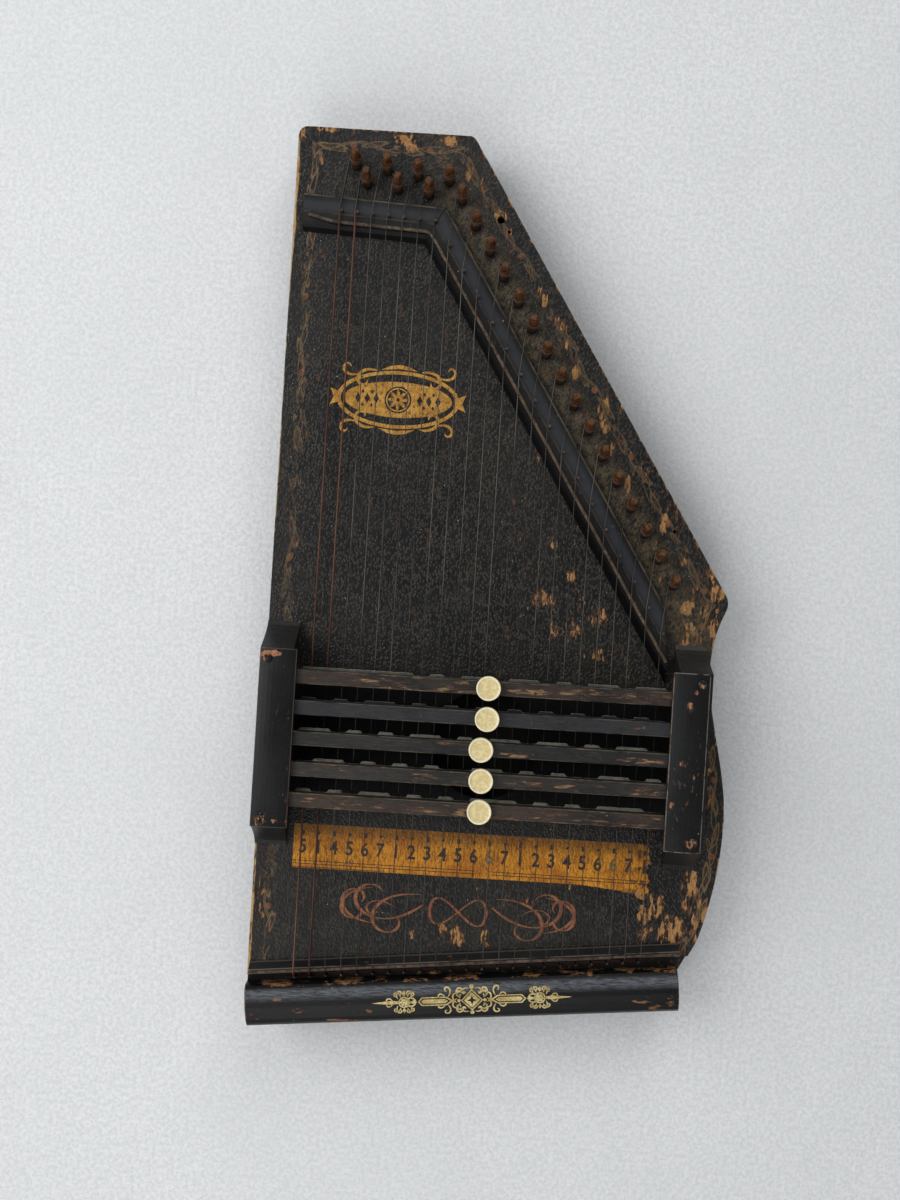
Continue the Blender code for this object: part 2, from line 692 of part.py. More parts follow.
def make_upper_bridge(materials):
    outer = -UPPER_BRIDGE_OUTER
    inner = UPPER_BRIDGE_INNER
    high = UPPER_BRIDGE_HEIGHT
    low = high - UPPER_BRIDGE_STEP
    step = GUIDE_PIN_SIDE_STEP
    profile = (
        (outer, 0.0), (outer, 0.78 * high), (outer + 0.2 * high, high), (step, high),
        (step + UPPER_BRIDGE_STEP, low), (0.72 * inner, low), (0.84 * inner, 0.7 * low), (inner, 0.0),
    )
    left = LEFT + UPPER_BRIDGE_LEFT_INSET
    rings = [[(left, top_line_y(left, d), BASE + h) for d, h in profile]]
    rings.append([(*bend_point(d), BASE + h) for d, h in profile])
    last = []
    for d, h in profile:
        x = upper_bridge_right(d)
        last.append((x, slant_y(x, SLANT_GUIDE_INSET + d), BASE + h))
    rings.append(last)
    bm = bmesh.new()
    add_loft(bm, rings)
    bridge = finish_object("upper_bridge", bm, materials["black_lacquer"])
    bm = bmesh.new()
    for i in range(STRING_COUNT):
        add_cylinder(bm, guide_pin(i), GUIDE_PIN_RADIUS, BASE + high / 2, BOARD_TOP + GUIDE_PIN_HEIGHT, 6)
    join(bridge, cutter("guide_pins", bm))


def make_upper_rod(materials):
    """The bent wire that the strings bear on."""
    place = UPPER_ROD_PLACE
    height = UPPER_ROD_HEIGHT
    left = string_x(0) - 2 * STRING_PITCH
    straight = string_x(0) - STRING_PITCH / 4
    bend = bend_point(place)
    along_top = Vector((-math.cos(TOP_GUIDE_TILT), math.sin(TOP_GUIDE_TILT)))
    end_x = upper_bridge_right(place) - GAP
    end = Vector((end_x, slant_y(end_x, SLANT_GUIDE_INSET + place)))
    arc = round_corner(bend + along_top, bend, end, UPPER_ROD_BEND)
    flat = [
        Vector((left, top_line_y(left, GUIDE_PIN_SIDE_STEP + 2 * UPPER_BRIDGE_STEP + UPPER_ROD_RADIUS))),
        Vector(((left + straight) / 2, top_line_y((left + straight) / 2, 0.8 * place))),
        Vector((straight, top_line_y(straight, place))),
        *arc,
        end,
    ]
    bm = bmesh.new()
    add_tube(bm, [(*point, height) for point in flat], UPPER_ROD_RADIUS, 8)
    finish_object("upper_bridge_rod", bm, materials["rusty_steel"], smooth=True)


def string_route(index):
    """A string from its hitch pin over both rods and past its guide pin to its tuning pin."""
    x = string_x(index)
    radius = string_radius(index)
    hitch = across_tail(x, HITCH_PLACE, FRAME_TOP + GAP + HITCH_STRIP_THICKNESS + HITCH_RISE)
    reach = LOWER_ROD_RADIUS + GAP + radius
    round_rod = []
    for degrees in (30, 60, 90):
        turn = math.radians(degrees)
        past = LOWER_ROD_PLACE + reach * math.cos(turn)
        round_rod.append(across_tail(x, past, LOWER_ROD_HEIGHT + reach * math.sin(turn)))
    rod_y = guide_line_y(x, UPPER_ROD_PLACE)
    over_rod = (x, rod_y, UPPER_ROD_HEIGHT + UPPER_ROD_RADIUS + GAP + radius)
    guide = guide_pin(index)
    beside_guide = (min(x, guide.x - GUIDE_PIN_RADIUS - GAP / 2 - radius), guide.y, over_rod[2])
    pin = tuning_pin(index)
    lean = STRING_HEIGHT_AT_PIN * math.tan(PIN_LEAN)
    pin_side = pin.x - PIN_RADIUS - GAP - radius
    end = (pin_side, pin.y + lean, BOARD_TOP + STRING_HEIGHT_AT_PIN)
    return [hitch, *round_rod, over_rod, beside_guide, end]


def make_strings(materials):
    """All strings with their hitch pins, held together by the strip that the hitch pins stand on."""
    strip_z = FRAME_TOP + GAP
    half = HITCH_STRIP_WIDTH / 2
    ends = (string_x(0) - STRING_PITCH / 2, string_x(STRING_COUNT - 1) + STRING_PITCH / 2)
    corners = [across_tail(ends[0], HITCH_PLACE + half, 0), across_tail(ends[1], HITCH_PLACE + half, 0),
               across_tail(ends[1], HITCH_PLACE - half, 0), across_tail(ends[0], HITCH_PLACE - half, 0)]
    bm = bmesh.new()
    add_prism(bm, [corner[:2] for corner in corners], strip_z, strip_z + HITCH_STRIP_THICKNESS)
    strings = finish_object("string_set", bm, materials["string_wire"])
    pins = bmesh.new()
    wires = bmesh.new()
    for i in range(STRING_COUNT):
        route = string_route(i)
        middle = strip_z + HITCH_STRIP_THICKNESS / 2
        add_cylinder(pins, route[0][:2], HITCH_PIN_RADIUS, middle, route[0][2] + HITCH_PIN_HEIGHT, 6)
        add_tube(wires, route, string_radius(i), STRING_SIDES)
    join(strings, cutter("hitch_pins", pins))
    join(strings, cutter("wires", wires))


def square_ring(half, height):
    """Eight points on a square, so that it skins to an eight-sided shaft."""
    ring = []
    for i in range(PIN_SIDES):
        turn = 2 * math.pi * i / PIN_SIDES
        reach = half / max(abs(math.cos(turn)), abs(math.sin(turn)))
        ring.append((reach * math.cos(turn), reach * math.sin(turn), height))
    return ring


def round_ring(radius, height):
    turns = [2 * math.pi * i / PIN_SIDES for i in range(PIN_SIDES)]
    return [(radius * math.cos(a), radius * math.sin(a), height) for a in turns]


def make_tuning_pins(materials):
    """A round shaft with a tapered square head, its origin on its axis where it leaves the board."""
    shoulder = PIN_EXPOSED - PIN_SQUARE_LENGTH
    bm = bmesh.new()
    add_loft(bm, [
        round_ring(0.7 * PIN_RADIUS, -PIN_EMBEDDED),
        round_ring(PIN_RADIUS, -PIN_EMBEDDED + PIN_RADIUS),
        round_ring(PIN_RADIUS, shoulder),
        square_ring(PIN_SQUARE_HALF, shoulder + PIN_SHOULDER_LENGTH),
        square_ring(0.9 * PIN_SQUARE_HALF, PIN_EXPOSED - PIN_CROWN_LENGTH),
        square_ring(0.65 * PIN_SQUARE_HALF, PIN_EXPOSED),
    ])
    first = finish_object("tuning_pin_01", bm, materials["rusty_steel"], smooth=True)
    for i in range(STRING_COUNT):
        pin = first
        if i:
            pin = bpy.data.objects.new(f"tuning_pin_{i + 1:02d}", first.data)
            bpy.context.scene.collection.objects.link(pin)
        place = tuning_pin(i)
        pin.location = (place.x, place.y, BOARD_TOP)
        pin.rotation_euler = (-PIN_LEAN, 0.0, 0.0)


def holder_profile():
    """Side view of a bar holder: a long foot, hollowed ends and a flat top."""
    low = BASE
    foot = HOLDER_BASE_LENGTH / 2
    top = HOLDER_TOP_LENGTH / 2
    rise = HOLDER_TOP - low - HOLDER_FOOT_EDGE
    steps = 6
    right = []
    for i in range(steps + 1):
        share = i / steps
        right.append((foot - (foot - top) * share, low + HOLDER_FOOT_EDGE + rise * share ** HOLDER_HOLLOW))
    left = [(-y, z) for y, z in reversed(right)]
    return [(-foot, low), (foot, low), *right, *left]


def make_holder(side, materials):
    inner, outer = holder_span(side)
    inward = math.copysign(1.0, inner - outer)
    bm = bmesh.new()
    profile = holder_profile()
    add_loft(bm, [[(x, HOLDER_Y + y, z) for y, z in profile] for x in (outer, inner)])
    holder = finish_object(f"bar_holder_{side}", bm, materials["black_lacquer"])

    centre = (inner + outer) / 2
    slots = bmesh.new()
    pockets = bmesh.new()
    floor = BAR_BOTTOM - BAR_TRAVEL - BAR_SIDE_CLEARANCE
    half = BAR_WIDTH / 2 + BAR_SIDE_CLEARANCE
    stop = bar_end(side) - inward * BAR_END_CLEARANCE
    for i in range(BAR_COUNT):
        low_x, high_x = sorted((stop, inner + inward * HOLDER_WIDTH))
        add_box(slots, (low_x, bar_y(i) - half, floor), (high_x, bar_y(i) + half, HOLDER_TOP + GAP * 10))
        reach = SPRING_RADIUS + SPRING_WIRE_RADIUS + SPRING_CLEARANCE
        add_cylinder(pockets, (centre, bar_y(i)), reach, BASE - GAP, floor + GAP * 3, 12)
    cut(holder, cutter(f"slots_{side}", slots))
    cut(holder, cutter(f"pockets_{side}", pockets))

    channel = bmesh.new()
    wide = SPRING_SEAT_WIDTH / 2 + GAP
    long = BAR_SPAN / 2 + SPRING_SEAT_WIDTH / 2 + GAP
    roof = BASE + SPRING_SEAT_THICKNESS + GAP
    add_box(channel, (centre - wide, HOLDER_Y - long, BASE - GAP), (centre + wide, HOLDER_Y + long, roof))
    cut(holder, cutter(f"channel_{side}", channel))

    screws = bmesh.new()
    for y in screw_places():
        place = (screw_x(side), y)
        reach = SCREW_SHANK_RADIUS + SCREW_CLEARANCE
        add_cylinder(screws, place, reach, HOLDER_TOP - SCREW_LENGTH - GAP, HOLDER_TOP + GAP * 10, 8)
    cut(holder, cutter(f"screw_holes_{side}", screws))


def cover_centre(side):
    inner, outer = holder_span(side)
    shift = LEFT_COVER_SHIFT if side == "left" else -RIGHT_COVER_SHIFT
    return (inner + outer) / 2 + shift


def screw_x(side):
    outward = -1.0 if side == "left" else 1.0
    return cover_centre(side) + outward * (COVER_WIDTH / 2 - SCREW_EDGE_INSET)


def screw_places():
    reach = HOLDER_TOP_LENGTH / 2 - SCREW_END_INSET
    return HOLDER_Y - reach, HOLDER_Y + reach


def make_cover(side, materials):
    """The plate that holds the bars down, with its two round-headed screws."""
    centre = cover_centre(side)
    half = COVER_WIDTH / 2
    long = HOLDER_TOP_LENGTH / 2
    profile = [(-half, 0.0), (half, 0.0)]
    for k in range(COVER_STEPS + 1):
        share = 1 - 2 * k / COVER_STEPS
        crown = (COVER_THICKNESS - COVER_EDGE_THICKNESS) * (1 - share * share)
        profile.append((share * half, COVER_EDGE_THICKNESS + crown))
    bm = bmesh.new()
    ends = (HOLDER_Y + long, HOLDER_Y - long)
    add_loft(bm, [[(centre + x, y, COVER_BOTTOM + z) for x, z in profile] for y in ends])
    cover = finish_object(f"holder_cover_{side}", bm, materials["black_lacquer"])
    screws = bmesh.new()
    top = COVER_BOTTOM + COVER_THICKNESS
    for y in screw_places():
        rings = []
        stations = (
            (0.6 * SCREW_SHANK_RADIUS, HOLDER_TOP - SCREW_LENGTH + GAP),
            (SCREW_SHANK_RADIUS, HOLDER_TOP - SCREW_LENGTH + SCREW_POINT_LENGTH),
            (SCREW_SHANK_RADIUS, top - 2 * SCREW_HEAD_SINK),
            (SCREW_HEAD_RADIUS, top - SCREW_HEAD_SINK),
            (SCREW_HEAD_RADIUS, top + 0.3 * SCREW_HEAD_HEIGHT),
            (0.6 * SCREW_HEAD_RADIUS, top + SCREW_HEAD_HEIGHT),
        )
        for radius, z in stations:
            turns = [math.pi * k / 5 for k in range(10)]
            x = screw_x(side)
            rings.append([(x + radius * math.cos(a), y + radius * math.sin(a), z) for a in turns])
        add_loft(screws, rings)
    join(cover, cutter(f"screws_{side}", screws))


def button_x(index):
    return LEFT + BUTTON_PLACE + BUTTON_SHIFTS[index % len(BUTTON_SHIFTS)]


def make_bar(index, materials):
    y = bar_y(index)
    bm = bmesh.new()
    low_x, high_x = bar_end("left"), bar_end("right")
    add_box(bm, (low_x, y - BAR_WIDTH / 2, BAR_BOTTOM), (high_x, y + BAR_WIDTH / 2, BAR_TOP))
    bar = finish_object(f"chord_bar_{index + 1}", bm, materials["worn_black"])
    bevel = bar.modifiers.new("worn edges", "BEVEL")
    bevel.width = BAR_BEVEL
    bevel.segments = 1
    tenon = bmesh.new()
    reach = BUTTON_TENON_RADIUS + BUTTON_TENON_CLEARANCE
    depth = BUTTON_TENON_LENGTH + BUTTON_TENON_CLEARANCE
    add_cylinder(tenon, (button_x(index), y), reach, BAR_TOP - depth, BAR_TOP + 10 * GAP, 8)
    cut(bar, cutter(f"tenon_hole_{index + 1}", tenon))


def is_damped(bar, string):
    """A felt tab stands over each string that is not in the chord; low down only the root sounds."""
    chord = CHORDS[bar % len(CHORDS)]
    note = NOTES[string % len(NOTES)]
    return note != chord[0] if string < BASS_STRINGS else note not in chord


def felt_runs(bar):
    """Start and end of each run of felt tabs along a bar."""
    runs = []
    for i in range(STRING_COUNT):
        if not is_damped(bar, i):
            continue
        start = string_x(i) - FELT_TAB_HALF
        end = string_x(i) + FELT_TAB_HALF
        if runs and i and is_damped(bar, i - 1):
            runs[-1][1] = end
        else:
            runs.append([start, end])
    return runs


def make_felt(index, materials):
    """One strip of felt, cut away over the strings that the bar lets sound."""
    start = string_x(0) - FELT_END_MARGIN
    end = string_x(STRING_COUNT - 1) + FELT_END_MARGIN
    back = bar_y(index) - BAR_WIDTH / 2
    front = bar_y(index) + BAR_WIDTH / 2
    bm = bmesh.new()
    add_box(bm, (start, back, FELT_TOP - FELT_BACKING), (end, front, FELT_TOP))
    felt = finish_object(f"damper_felt_{index + 1}", bm, materials["felt"])
    tabs = bmesh.new()
    for low, high in felt_runs(index):
        add_box(tabs, (low, back + FELT_INSET, FELT_BOTTOM), (high, front + FELT_PROUD, FELT_TOP - FELT_INSET))
    join(felt, cutter(f"felt_tabs_{index + 1}", tabs))


def make_button(index, materials):
    """A round button with a raised rim and a tenon in the bar."""
    bottom = GAP
    top = GAP + BUTTON_HEIGHT
    stations = (
        (BUTTON_TENON_RADIUS, -BUTTON_TENON_LENGTH),
        (BUTTON_TENON_RADIUS, bottom),
        (BUTTON_RADIUS - BUTTON_EDGE, bottom),
        (BUTTON_RADIUS, bottom + BUTTON_EDGE),
        (BUTTON_RADIUS, top - BUTTON_EDGE),
        (BUTTON_RADIUS - BUTTON_EDGE, top),
        (BUTTON_RADIUS - BUTTON_RIM, top),
        (BUTTON_RADIUS - BUTTON_RIM - BUTTON_EDGE, top - BUTTON_DISH),
    )
    rings = []
    for radius, z in stations:
        turns = [2 * math.pi * k / BUTTON_SIDES for k in range(BUTTON_SIDES)]
        rings.append([(radius * math.cos(a), radius * math.sin(a), z) for a in turns])
    bm = bmesh.new()
    add_loft(bm, rings)
    button = finish_object(f"bar_button_{index + 1}", bm, materials["ivory"], smooth=True)
    button.location = (button_x(index), bar_y(index), BAR_TOP)


def spring_route(x, y):
    """A helix from inside its seat to just under the bar."""
    bottom = BASE + SPRING_SEAT_THICKNESS - SPRING_WIRE_RADIUS / 4
    top = BAR_BOTTOM - GAP - SPRING_WIRE_RADIUS
    count = SPRING_TURNS * SPRING_POINTS_PER_TURN
    route = []
    for k in range(count + 1):
        turn = 2 * math.pi * k / SPRING_POINTS_PER_TURN
        z = bottom + (top - bottom) * k / count
        route.append((x + SPRING_RADIUS * math.cos(turn), y + SPRING_RADIUS * math.sin(turn), z))
    return route


def spring_clearance():
    """Least gap between neighbouring turns, from the points of the helix."""
    route = [Vector(point) for point in spring_route(0.0, 0.0)]
    near = [
        (a - b).length
        for i, a in enumerate(route)
        for b in route[i + SPRING_POINTS_PER_TURN // 2:]
    ]
    return min(near) - 2 * SPRING_WIRE_RADIUS


def make_springs(side, materials):
    """The five springs of one holder on their common seat."""
    inner, outer = holder_span(side)
    centre = (inner + outer) / 2
    half = SPRING_SEAT_WIDTH / 2
    long = BAR_SPAN / 2 + half
    bm = bmesh.new()
    roof = BASE + SPRING_SEAT_THICKNESS
    add_box(bm, (centre - half, HOLDER_Y - long, BASE), (centre + half, HOLDER_Y + long, roof))
    row = finish_object(f"spring_row_{side}", bm, materials["spring_wire"])
    coils = bmesh.new()
    for i in range(BAR_COUNT):
        add_tube(coils, spring_route(centre, bar_y(i)), SPRING_WIRE_RADIUS, 4)
    join(row, cutter(f"coils_{side}", coils))


def main():
    clear_scene()
    materials = make_materials()
    make_boards(materials)
    make_pin_block(materials)
    make_frame(materials)
    make_feet(materials)
    make_end_rail(materials)
    make_lower_bridge(materials)
    make_upper_bridge(materials)
    make_upper_rod(materials)
    make_strings(materials)
    make_tuning_pins(materials)
    for side in ("left", "right"):
        make_holder(side, materials)
        make_cover(side, materials)
        make_springs(side, materials)
    for index in range(BAR_COUNT):
        make_bar(index, materials)
        make_felt(index, materials)
        make_button(index, materials)
    print(f"least gap between spring turns {spring_clearance() * 1000:.2f} mm")


main()
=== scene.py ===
# %% [markdown]
# # An old black autoharp
# An autoharp is a zither whose felted bars are pressed on the strings, so that only the notes of a
# chord sound. This one is black lacquered wood, worn to brown stain and bare wood along its edges,
# with gold transfers, rusty pins and ivory coloured buttons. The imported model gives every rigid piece
# its place, and the cells below give each surface its finish and add what is finer than the model.

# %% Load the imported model
import json
import math
from functools import reduce
import bpy
from mathutils import Matrix, Vector


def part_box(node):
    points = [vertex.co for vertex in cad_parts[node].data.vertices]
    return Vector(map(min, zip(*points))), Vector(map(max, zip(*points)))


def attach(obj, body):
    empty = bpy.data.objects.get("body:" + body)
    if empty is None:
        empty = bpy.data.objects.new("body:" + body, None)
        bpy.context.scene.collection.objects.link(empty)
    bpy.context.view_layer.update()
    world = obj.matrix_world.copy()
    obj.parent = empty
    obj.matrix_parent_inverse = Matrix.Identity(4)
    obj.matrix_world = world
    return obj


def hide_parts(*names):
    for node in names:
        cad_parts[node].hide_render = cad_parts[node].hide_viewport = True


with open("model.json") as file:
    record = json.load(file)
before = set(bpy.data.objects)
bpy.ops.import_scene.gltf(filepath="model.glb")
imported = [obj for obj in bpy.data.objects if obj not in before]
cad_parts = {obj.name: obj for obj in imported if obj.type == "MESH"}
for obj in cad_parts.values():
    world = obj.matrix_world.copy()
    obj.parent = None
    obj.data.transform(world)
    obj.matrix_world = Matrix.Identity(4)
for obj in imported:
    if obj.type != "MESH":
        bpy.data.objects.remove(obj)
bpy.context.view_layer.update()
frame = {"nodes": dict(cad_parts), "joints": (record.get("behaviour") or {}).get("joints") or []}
nodes = frame["nodes"]
bpy.ops.object.select_all(action="DESELECT")

# %% [markdown]
# ## Where things are
# The soundboard's box gives the four sides of the body. The finish of the wood depends on how far a
# point lies from the body's outline, so the corners of that outline are written down here once, and
# so is the way from a pixel of the photograph to a place on the instrument, for stains and scratches.

# %% Measures of the body
board_low, board_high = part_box("soundboard")
LEFT, RIGHT, TOP, TAIL = board_low.x, board_high.x, board_high.y, -board_high.y
BOARD_TOP = board_high.z
PHOTO_CENTRE = (450, 600)
CAMERA_HEIGHT = 0.680
CAMERA_TURN = math.radians(3.54)
MM_PER_PIXEL = 0.537
CAMERA_PLACE = Vector((-0.0288, -0.00765))
SLANT_START = Vector((LEFT + 0.0942, TOP))
SLANT_END = Vector((RIGHT - 0.0037, TAIL + 0.2415))
SLANT_ALONG = (SLANT_END - SLANT_START).normalized()
SLANT_INWARD = Vector((SLANT_ALONG.y, -SLANT_ALONG.x))
STRING_COUNT, STRING_PITCH, FIRST_STRING_INSET = 23, 0.00835, 0.0254
GUIDES_FROM_TOP, GUIDES_FROM_SLANT = 0.0465, 0.0405
BARS_Y = TAIL + 0.1576
MM = 0.001


def from_photo(px, py, height=0.0):
    """The place of a pixel of the photograph, at this height above the soundboard."""
    reach = MM_PER_PIXEL / 1000 * (1 - height / CAMERA_HEIGHT)
    across, up = (px - PHOTO_CENTRE[0]) * reach, (PHOTO_CENTRE[1] - py) * reach
    cosine, sine = math.cos(CAMERA_TURN), math.sin(CAMERA_TURN)
    return Vector((across * cosine - up * sine, across * sine + up * cosine)) + CAMERA_PLACE


def string_x(number):
    """Where a string runs, counted from 1 on the bass side."""
    return LEFT + FIRST_STRING_INSET + STRING_PITCH * (number - 1)


WOUND_EDGE = string_x(2) + 0.003
print("photograph's centre on the board", tuple(round(v, 4) for v in from_photo(*PHOTO_CENTRE)))

# %% [markdown]
# ## Camera
# The photograph was taken from straight above, from about 68 cm, with the instrument turned a few
# degrees on its cloth, so the camera turns instead of the instrument.


# %% Camera
def linked(name, data):
    """A new object in the scene."""
    made = bpy.data.objects.new(name, data)
    bpy.context.scene.collection.objects.link(made)
    return made


camera = linked("camera", bpy.data.cameras.new("camera"))
camera.data.lens = 38.0
camera.data.sensor_width = 36.0
camera.location = (CAMERA_PLACE.x, CAMERA_PLACE.y, BOARD_TOP + CAMERA_HEIGHT)
camera.rotation_euler = (0.0, 0.0, CAMERA_TURN)
bpy.context.scene.camera = camera
print("camera", round(camera.location.z, 3), "m above the floor")

# %% [markdown]
# ## Arithmetic on sockets
# A finish is a network of nodes. Sums of node values are easier to read as arithmetic than as a
# list of nodes and links, so `Value` wraps a socket and turns each sign into a Math node.


# %% Values
class Value:
    """A socket of a finish. Ordinary signs between values add the Math nodes."""

    def __init__(self, finish, socket):
        self.finish = finish
        self.socket = socket

    def math(self, operation, *others):
        return self.finish.node("Math", {"operation": operation}, (self, *others))

    def __add__(self, other):
        return self.math("ADD", other)

    def __mul__(self, other):
        return self.math("MULTIPLY", other)

    def __sub__(self, other):
        return self.math("SUBTRACT", other)

    def __rsub__(self, other):
        return self * -1.0 + other

    def __truediv__(self, other):
        return self.math("DIVIDE", other)

    def __abs__(self):
        return self.math("ABSOLUTE")

    __radd__ = __add__
    __rmul__ = __mul__

    def least(self, other):
        return self.math("MINIMUM", other)

    def most(self, other):
        return self.math("MAXIMUM", other)

    def ramp(self, start, end):
        """0 at start, 1 at end and smooth between, whichever of the two is larger."""
        return self.finish.node("MapRange", {"interpolation_type": "SMOOTHSTEP"}, (self, start, end))


print("arithmetic on sockets ready")

# %% [markdown]
# ## Making a finish
# Every other kind of node comes from one method, `node`, which takes the kind, its settings and what
# its sockets get. The methods after it are the few patterns that this instrument's surfaces need:
# cloudy noise, cells and cracks, ovals, and coats of colour laid over each other.


# %% Finishes
def paint(code):
    """A screen colour such as 8a5a2b, in the linear values that a shader takes."""
    parts = [int(code[i:i + 2], 16) / 255 for i in (0, 2, 4)]
    return tuple(v / 12.92 if v <= 0.04045 else ((v + 0.055) / 1.055) ** 2.4 for v in parts)


class Finish:
    """A material in the making, with the place on the object as x, y and z in metres."""

    def __init__(self, name):
        self.material = bpy.data.materials.new(name)
        self.material.use_nodes = True
        self.tree = self.material.node_tree
        self.shader = self.tree.nodes["Principled BSDF"]
        self.place = self.node("TexCoord", take="Object")
        self.x, self.y, self.z = [self.node("SeparateXYZ", {}, (self.place,), take=i) for i in range(3)]

    def set(self, socket, value):
        if isinstance(value, Value):
            self.tree.links.new(value.socket, socket)
        elif isinstance(value, str):
            socket.default_value = (*paint(value), 1.0)
        else:
            socket.default_value = value

    def node(self, kind, settings=None, sockets=(), take=0):
        """Makes a node, sets it up and gives one of its outputs."""
        made = self.tree.nodes.new("ShaderNode" + kind)
        for key, setting in (settings or {}).items():
            setattr(made, key, setting)
        pairs = sockets.items() if isinstance(sockets, dict) else enumerate(sockets)
        for key, value in pairs:
            self.set(made.inputs[key], value)
        return Value(self, made.outputs[take])

    def arrow(self, operation, *others, take=0):
        """Vector arithmetic on the place."""
        return self.node("VectorMath", {"operation": operation}, (self.place, *others), take)

    def spread(self, stretch, shift):
        """The place, squeezed so that a pattern on it comes out stretched, and moved elsewhere."""
        return self.arrow("MULTIPLY_ADD", tuple(1 / s for s in stretch), (shift, shift, shift))

    def distance(self, point):
        """How far away a point is."""
        return self.arrow("DISTANCE", tuple(point), take=1)

    def noise(self, size, detail=3.0, roughness=0.6, stretch=(1, 1, 1), shift=0.0):
        """Cloudy patches of about this size in metres, from 0 to 1 with most near a half."""
        sockets = {"Vector": self.spread(stretch, shift), "Scale": 1 / size, "Detail": detail,
                   "Roughness": roughness}
        return self.node("TexNoise", {}, sockets)

    def cells(self, size, feature="F1", stretch=(1, 1, 1), shift=0.0, take="Distance"):
        """How far a point lies from the middle of its cell, or from the crack between two."""
        sockets = {"Vector": self.spread(stretch, shift), "Scale": 1 / size}
        return self.node("TexVoronoi", {"feature": feature}, sockets, take=take)

    def mix(self, share, first, second):
        """A colour between two others."""
        return self.node("Mix", {"data_type": "RGBA"}, {0: share, 6: first, 7: second}, take=2)

    def layers(self, colour, *coats):
        """A colour under coats of paint, each a share of cover and a colour."""
        for share, coat in coats:
            colour = self.mix(share, colour, coat)
        return colour

    def spot(self, centre, width, height):
        """1 in the middle of an oval on the board and 0 outside it."""
        scale = (1 / width, 1 / height, 0.0)
        start = (-centre[0] / width, -centre[1] / height, 0.0)
        arm = self.arrow("MULTIPLY_ADD", scale, start)
        return self.node("VectorMath", {"operation": "LENGTH"}, (arm,), take=1).ramp(1.0, 0.45)

    def done(self, colour, roughness, height=None, depth=0.0002, **fixed):
        """Connects the results. What is the same all over goes straight on the shader."""
        self.set(self.shader.inputs["Base Color"], colour)
        self.set(self.shader.inputs["Roughness"], roughness)
        if height is not None:
            sockets = {"Strength": 1.0, "Distance": depth, "Height": height}
            self.set(self.shader.inputs["Normal"], self.node("Bump", {}, sockets))
        for name, value in fixed.items():
            self.set(self.shader.inputs[name.replace("_", " ")], value)
        print("finish", self.material.name, len(self.tree.nodes), "nodes")
        return self.material


print("a finish can be made; mid grey is", round(paint("808080")[0], 3), "in linear values")

# %% [markdown]
# ## Worn black lacquer
# The wood was stained red-brown, then covered with black. The black has crazed into small cells, is
# dusty in its cracks, and has flaked away where hands and cases rubbed it, first to the stain and
# then to bare wood. One value, `gone`, says how much is lost at a point, and noise breaks it up.


# %% Worn black lacquer
def aged_black(finish, gone, grain=(1, 3, 1), darks=("0a0a0b", "181614"), woods=("7f552d", "ad8250"),
               stains=("2a1a14", "553a27"), flake=0.0045, glints=0.12):
    """Colour, roughness and height of black lacquer that is gone where `gone` nears 1, and painted glints."""
    cloud = finish.noise(0.05, 6.0, 0.7).ramp(0.35, 0.65)
    fine = finish.noise(0.0008, 3.0, 0.8, grain, 3.0)
    crumbs = finish.cells(0.0013, stretch=grain, shift=6.0, take="Color")
    flakes = finish.noise(flake, 8.0, 0.76, grain, 7.0)
    chips = flakes * 1.35 + (crumbs - 0.5) * 0.42 + gone * 0.5 - 0.175
    stain = chips.ramp(0.77, 0.81)
    wood = chips.ramp(0.88, 0.91)
    # The middles of the crazed cells and fine streaks are lightened as painted glints, as strong as `glints`;
    # the cells also get a bump.
    pebbles = finish.cells(0.0013, stretch=(1, 1.3, 1), shift=6.5).ramp(0.60, 0.20)
    patchy = finish.noise(0.010, 5.0, 0.75, shift=5.0).ramp(0.42, 0.58)
    streaks = finish.noise(0.0011, 3.0, 0.7, (1, 16, 1), 5.5).ramp(0.54, 0.68)
    cracks = finish.cells(0.0070, shift=1.0).ramp(0.050, 0.030)
    dust = cracks * finish.noise(0.004, shift=2.0).ramp(0.46, 0.56)
    colour = finish.layers(
        finish.mix(cloud, *darks),
        (pebbles * (patchy * 0.75 + 0.25) * (glints * 0.42), "4f483a"),
        (streaks * (glints * 0.26), "544a3b"),
        (fine.ramp(0.47, 0.36) * 0.70, "050505"),
        (stain, finish.mix(fine.ramp(0.35, 0.65), *stains)),
        (wood, finish.mix(fine.ramp(0.3, 0.7), *woods)),
        (dust * 0.8, "a9a59b"))
    roughness = cloud * 0.10 + stain * 0.25 + 0.34
    height = fine * 0.35 + pebbles * glints * 0.6 - stain * 0.25 - wood * 0.25 + 0.6
    return colour, roughness, height


def edge_distance(finish, low, high):
    """How far a point on a box lies from the nearest edge of the box."""
    gaps = []
    for axis, value in enumerate((finish.x, finish.y, finish.z)):
        middle, half = (low[axis] + high[axis]) / 2, (high[axis] - low[axis]) / 2
        gaps.append(half - abs(value - middle))
    return gaps[0].least(gaps[1]).most(gaps[0].most(gaps[1]).least(gaps[2]))


def dress(material, *names):
    """Gives CAD nodes their finish."""
    for name in names:
        nodes[name].data.materials.clear()
        nodes[name].data.materials.append(material)


print("lacquer ready, its dark tone is", [round(v, 4) for v in paint("0a0a0b")])

# %% [markdown]
# ## How far from the edge
# The worn rim and the painted vine both follow the outline of the body. Three of its sides are
# straight, and the treble side is a swelling curve, which three smooth steps along y describe.


# %% Distance from the outline
SWELL_LOW, WAIST = TAIL + 0.1250, TAIL + 0.2060
WAIST_DEPTH = 0.0124
SHOULDER_DEPTH, SHOULDER_RUN = 0.0087, 0.0355
TAIL_DEPTH, TAIL_RUN = 0.0105, 0.0656


def slant_gap(finish):
    """Distance inward from the slanted edge."""
    return (finish.x - SLANT_START.x) * SLANT_INWARD.x + (finish.y - SLANT_START.y) * SLANT_INWARD.y


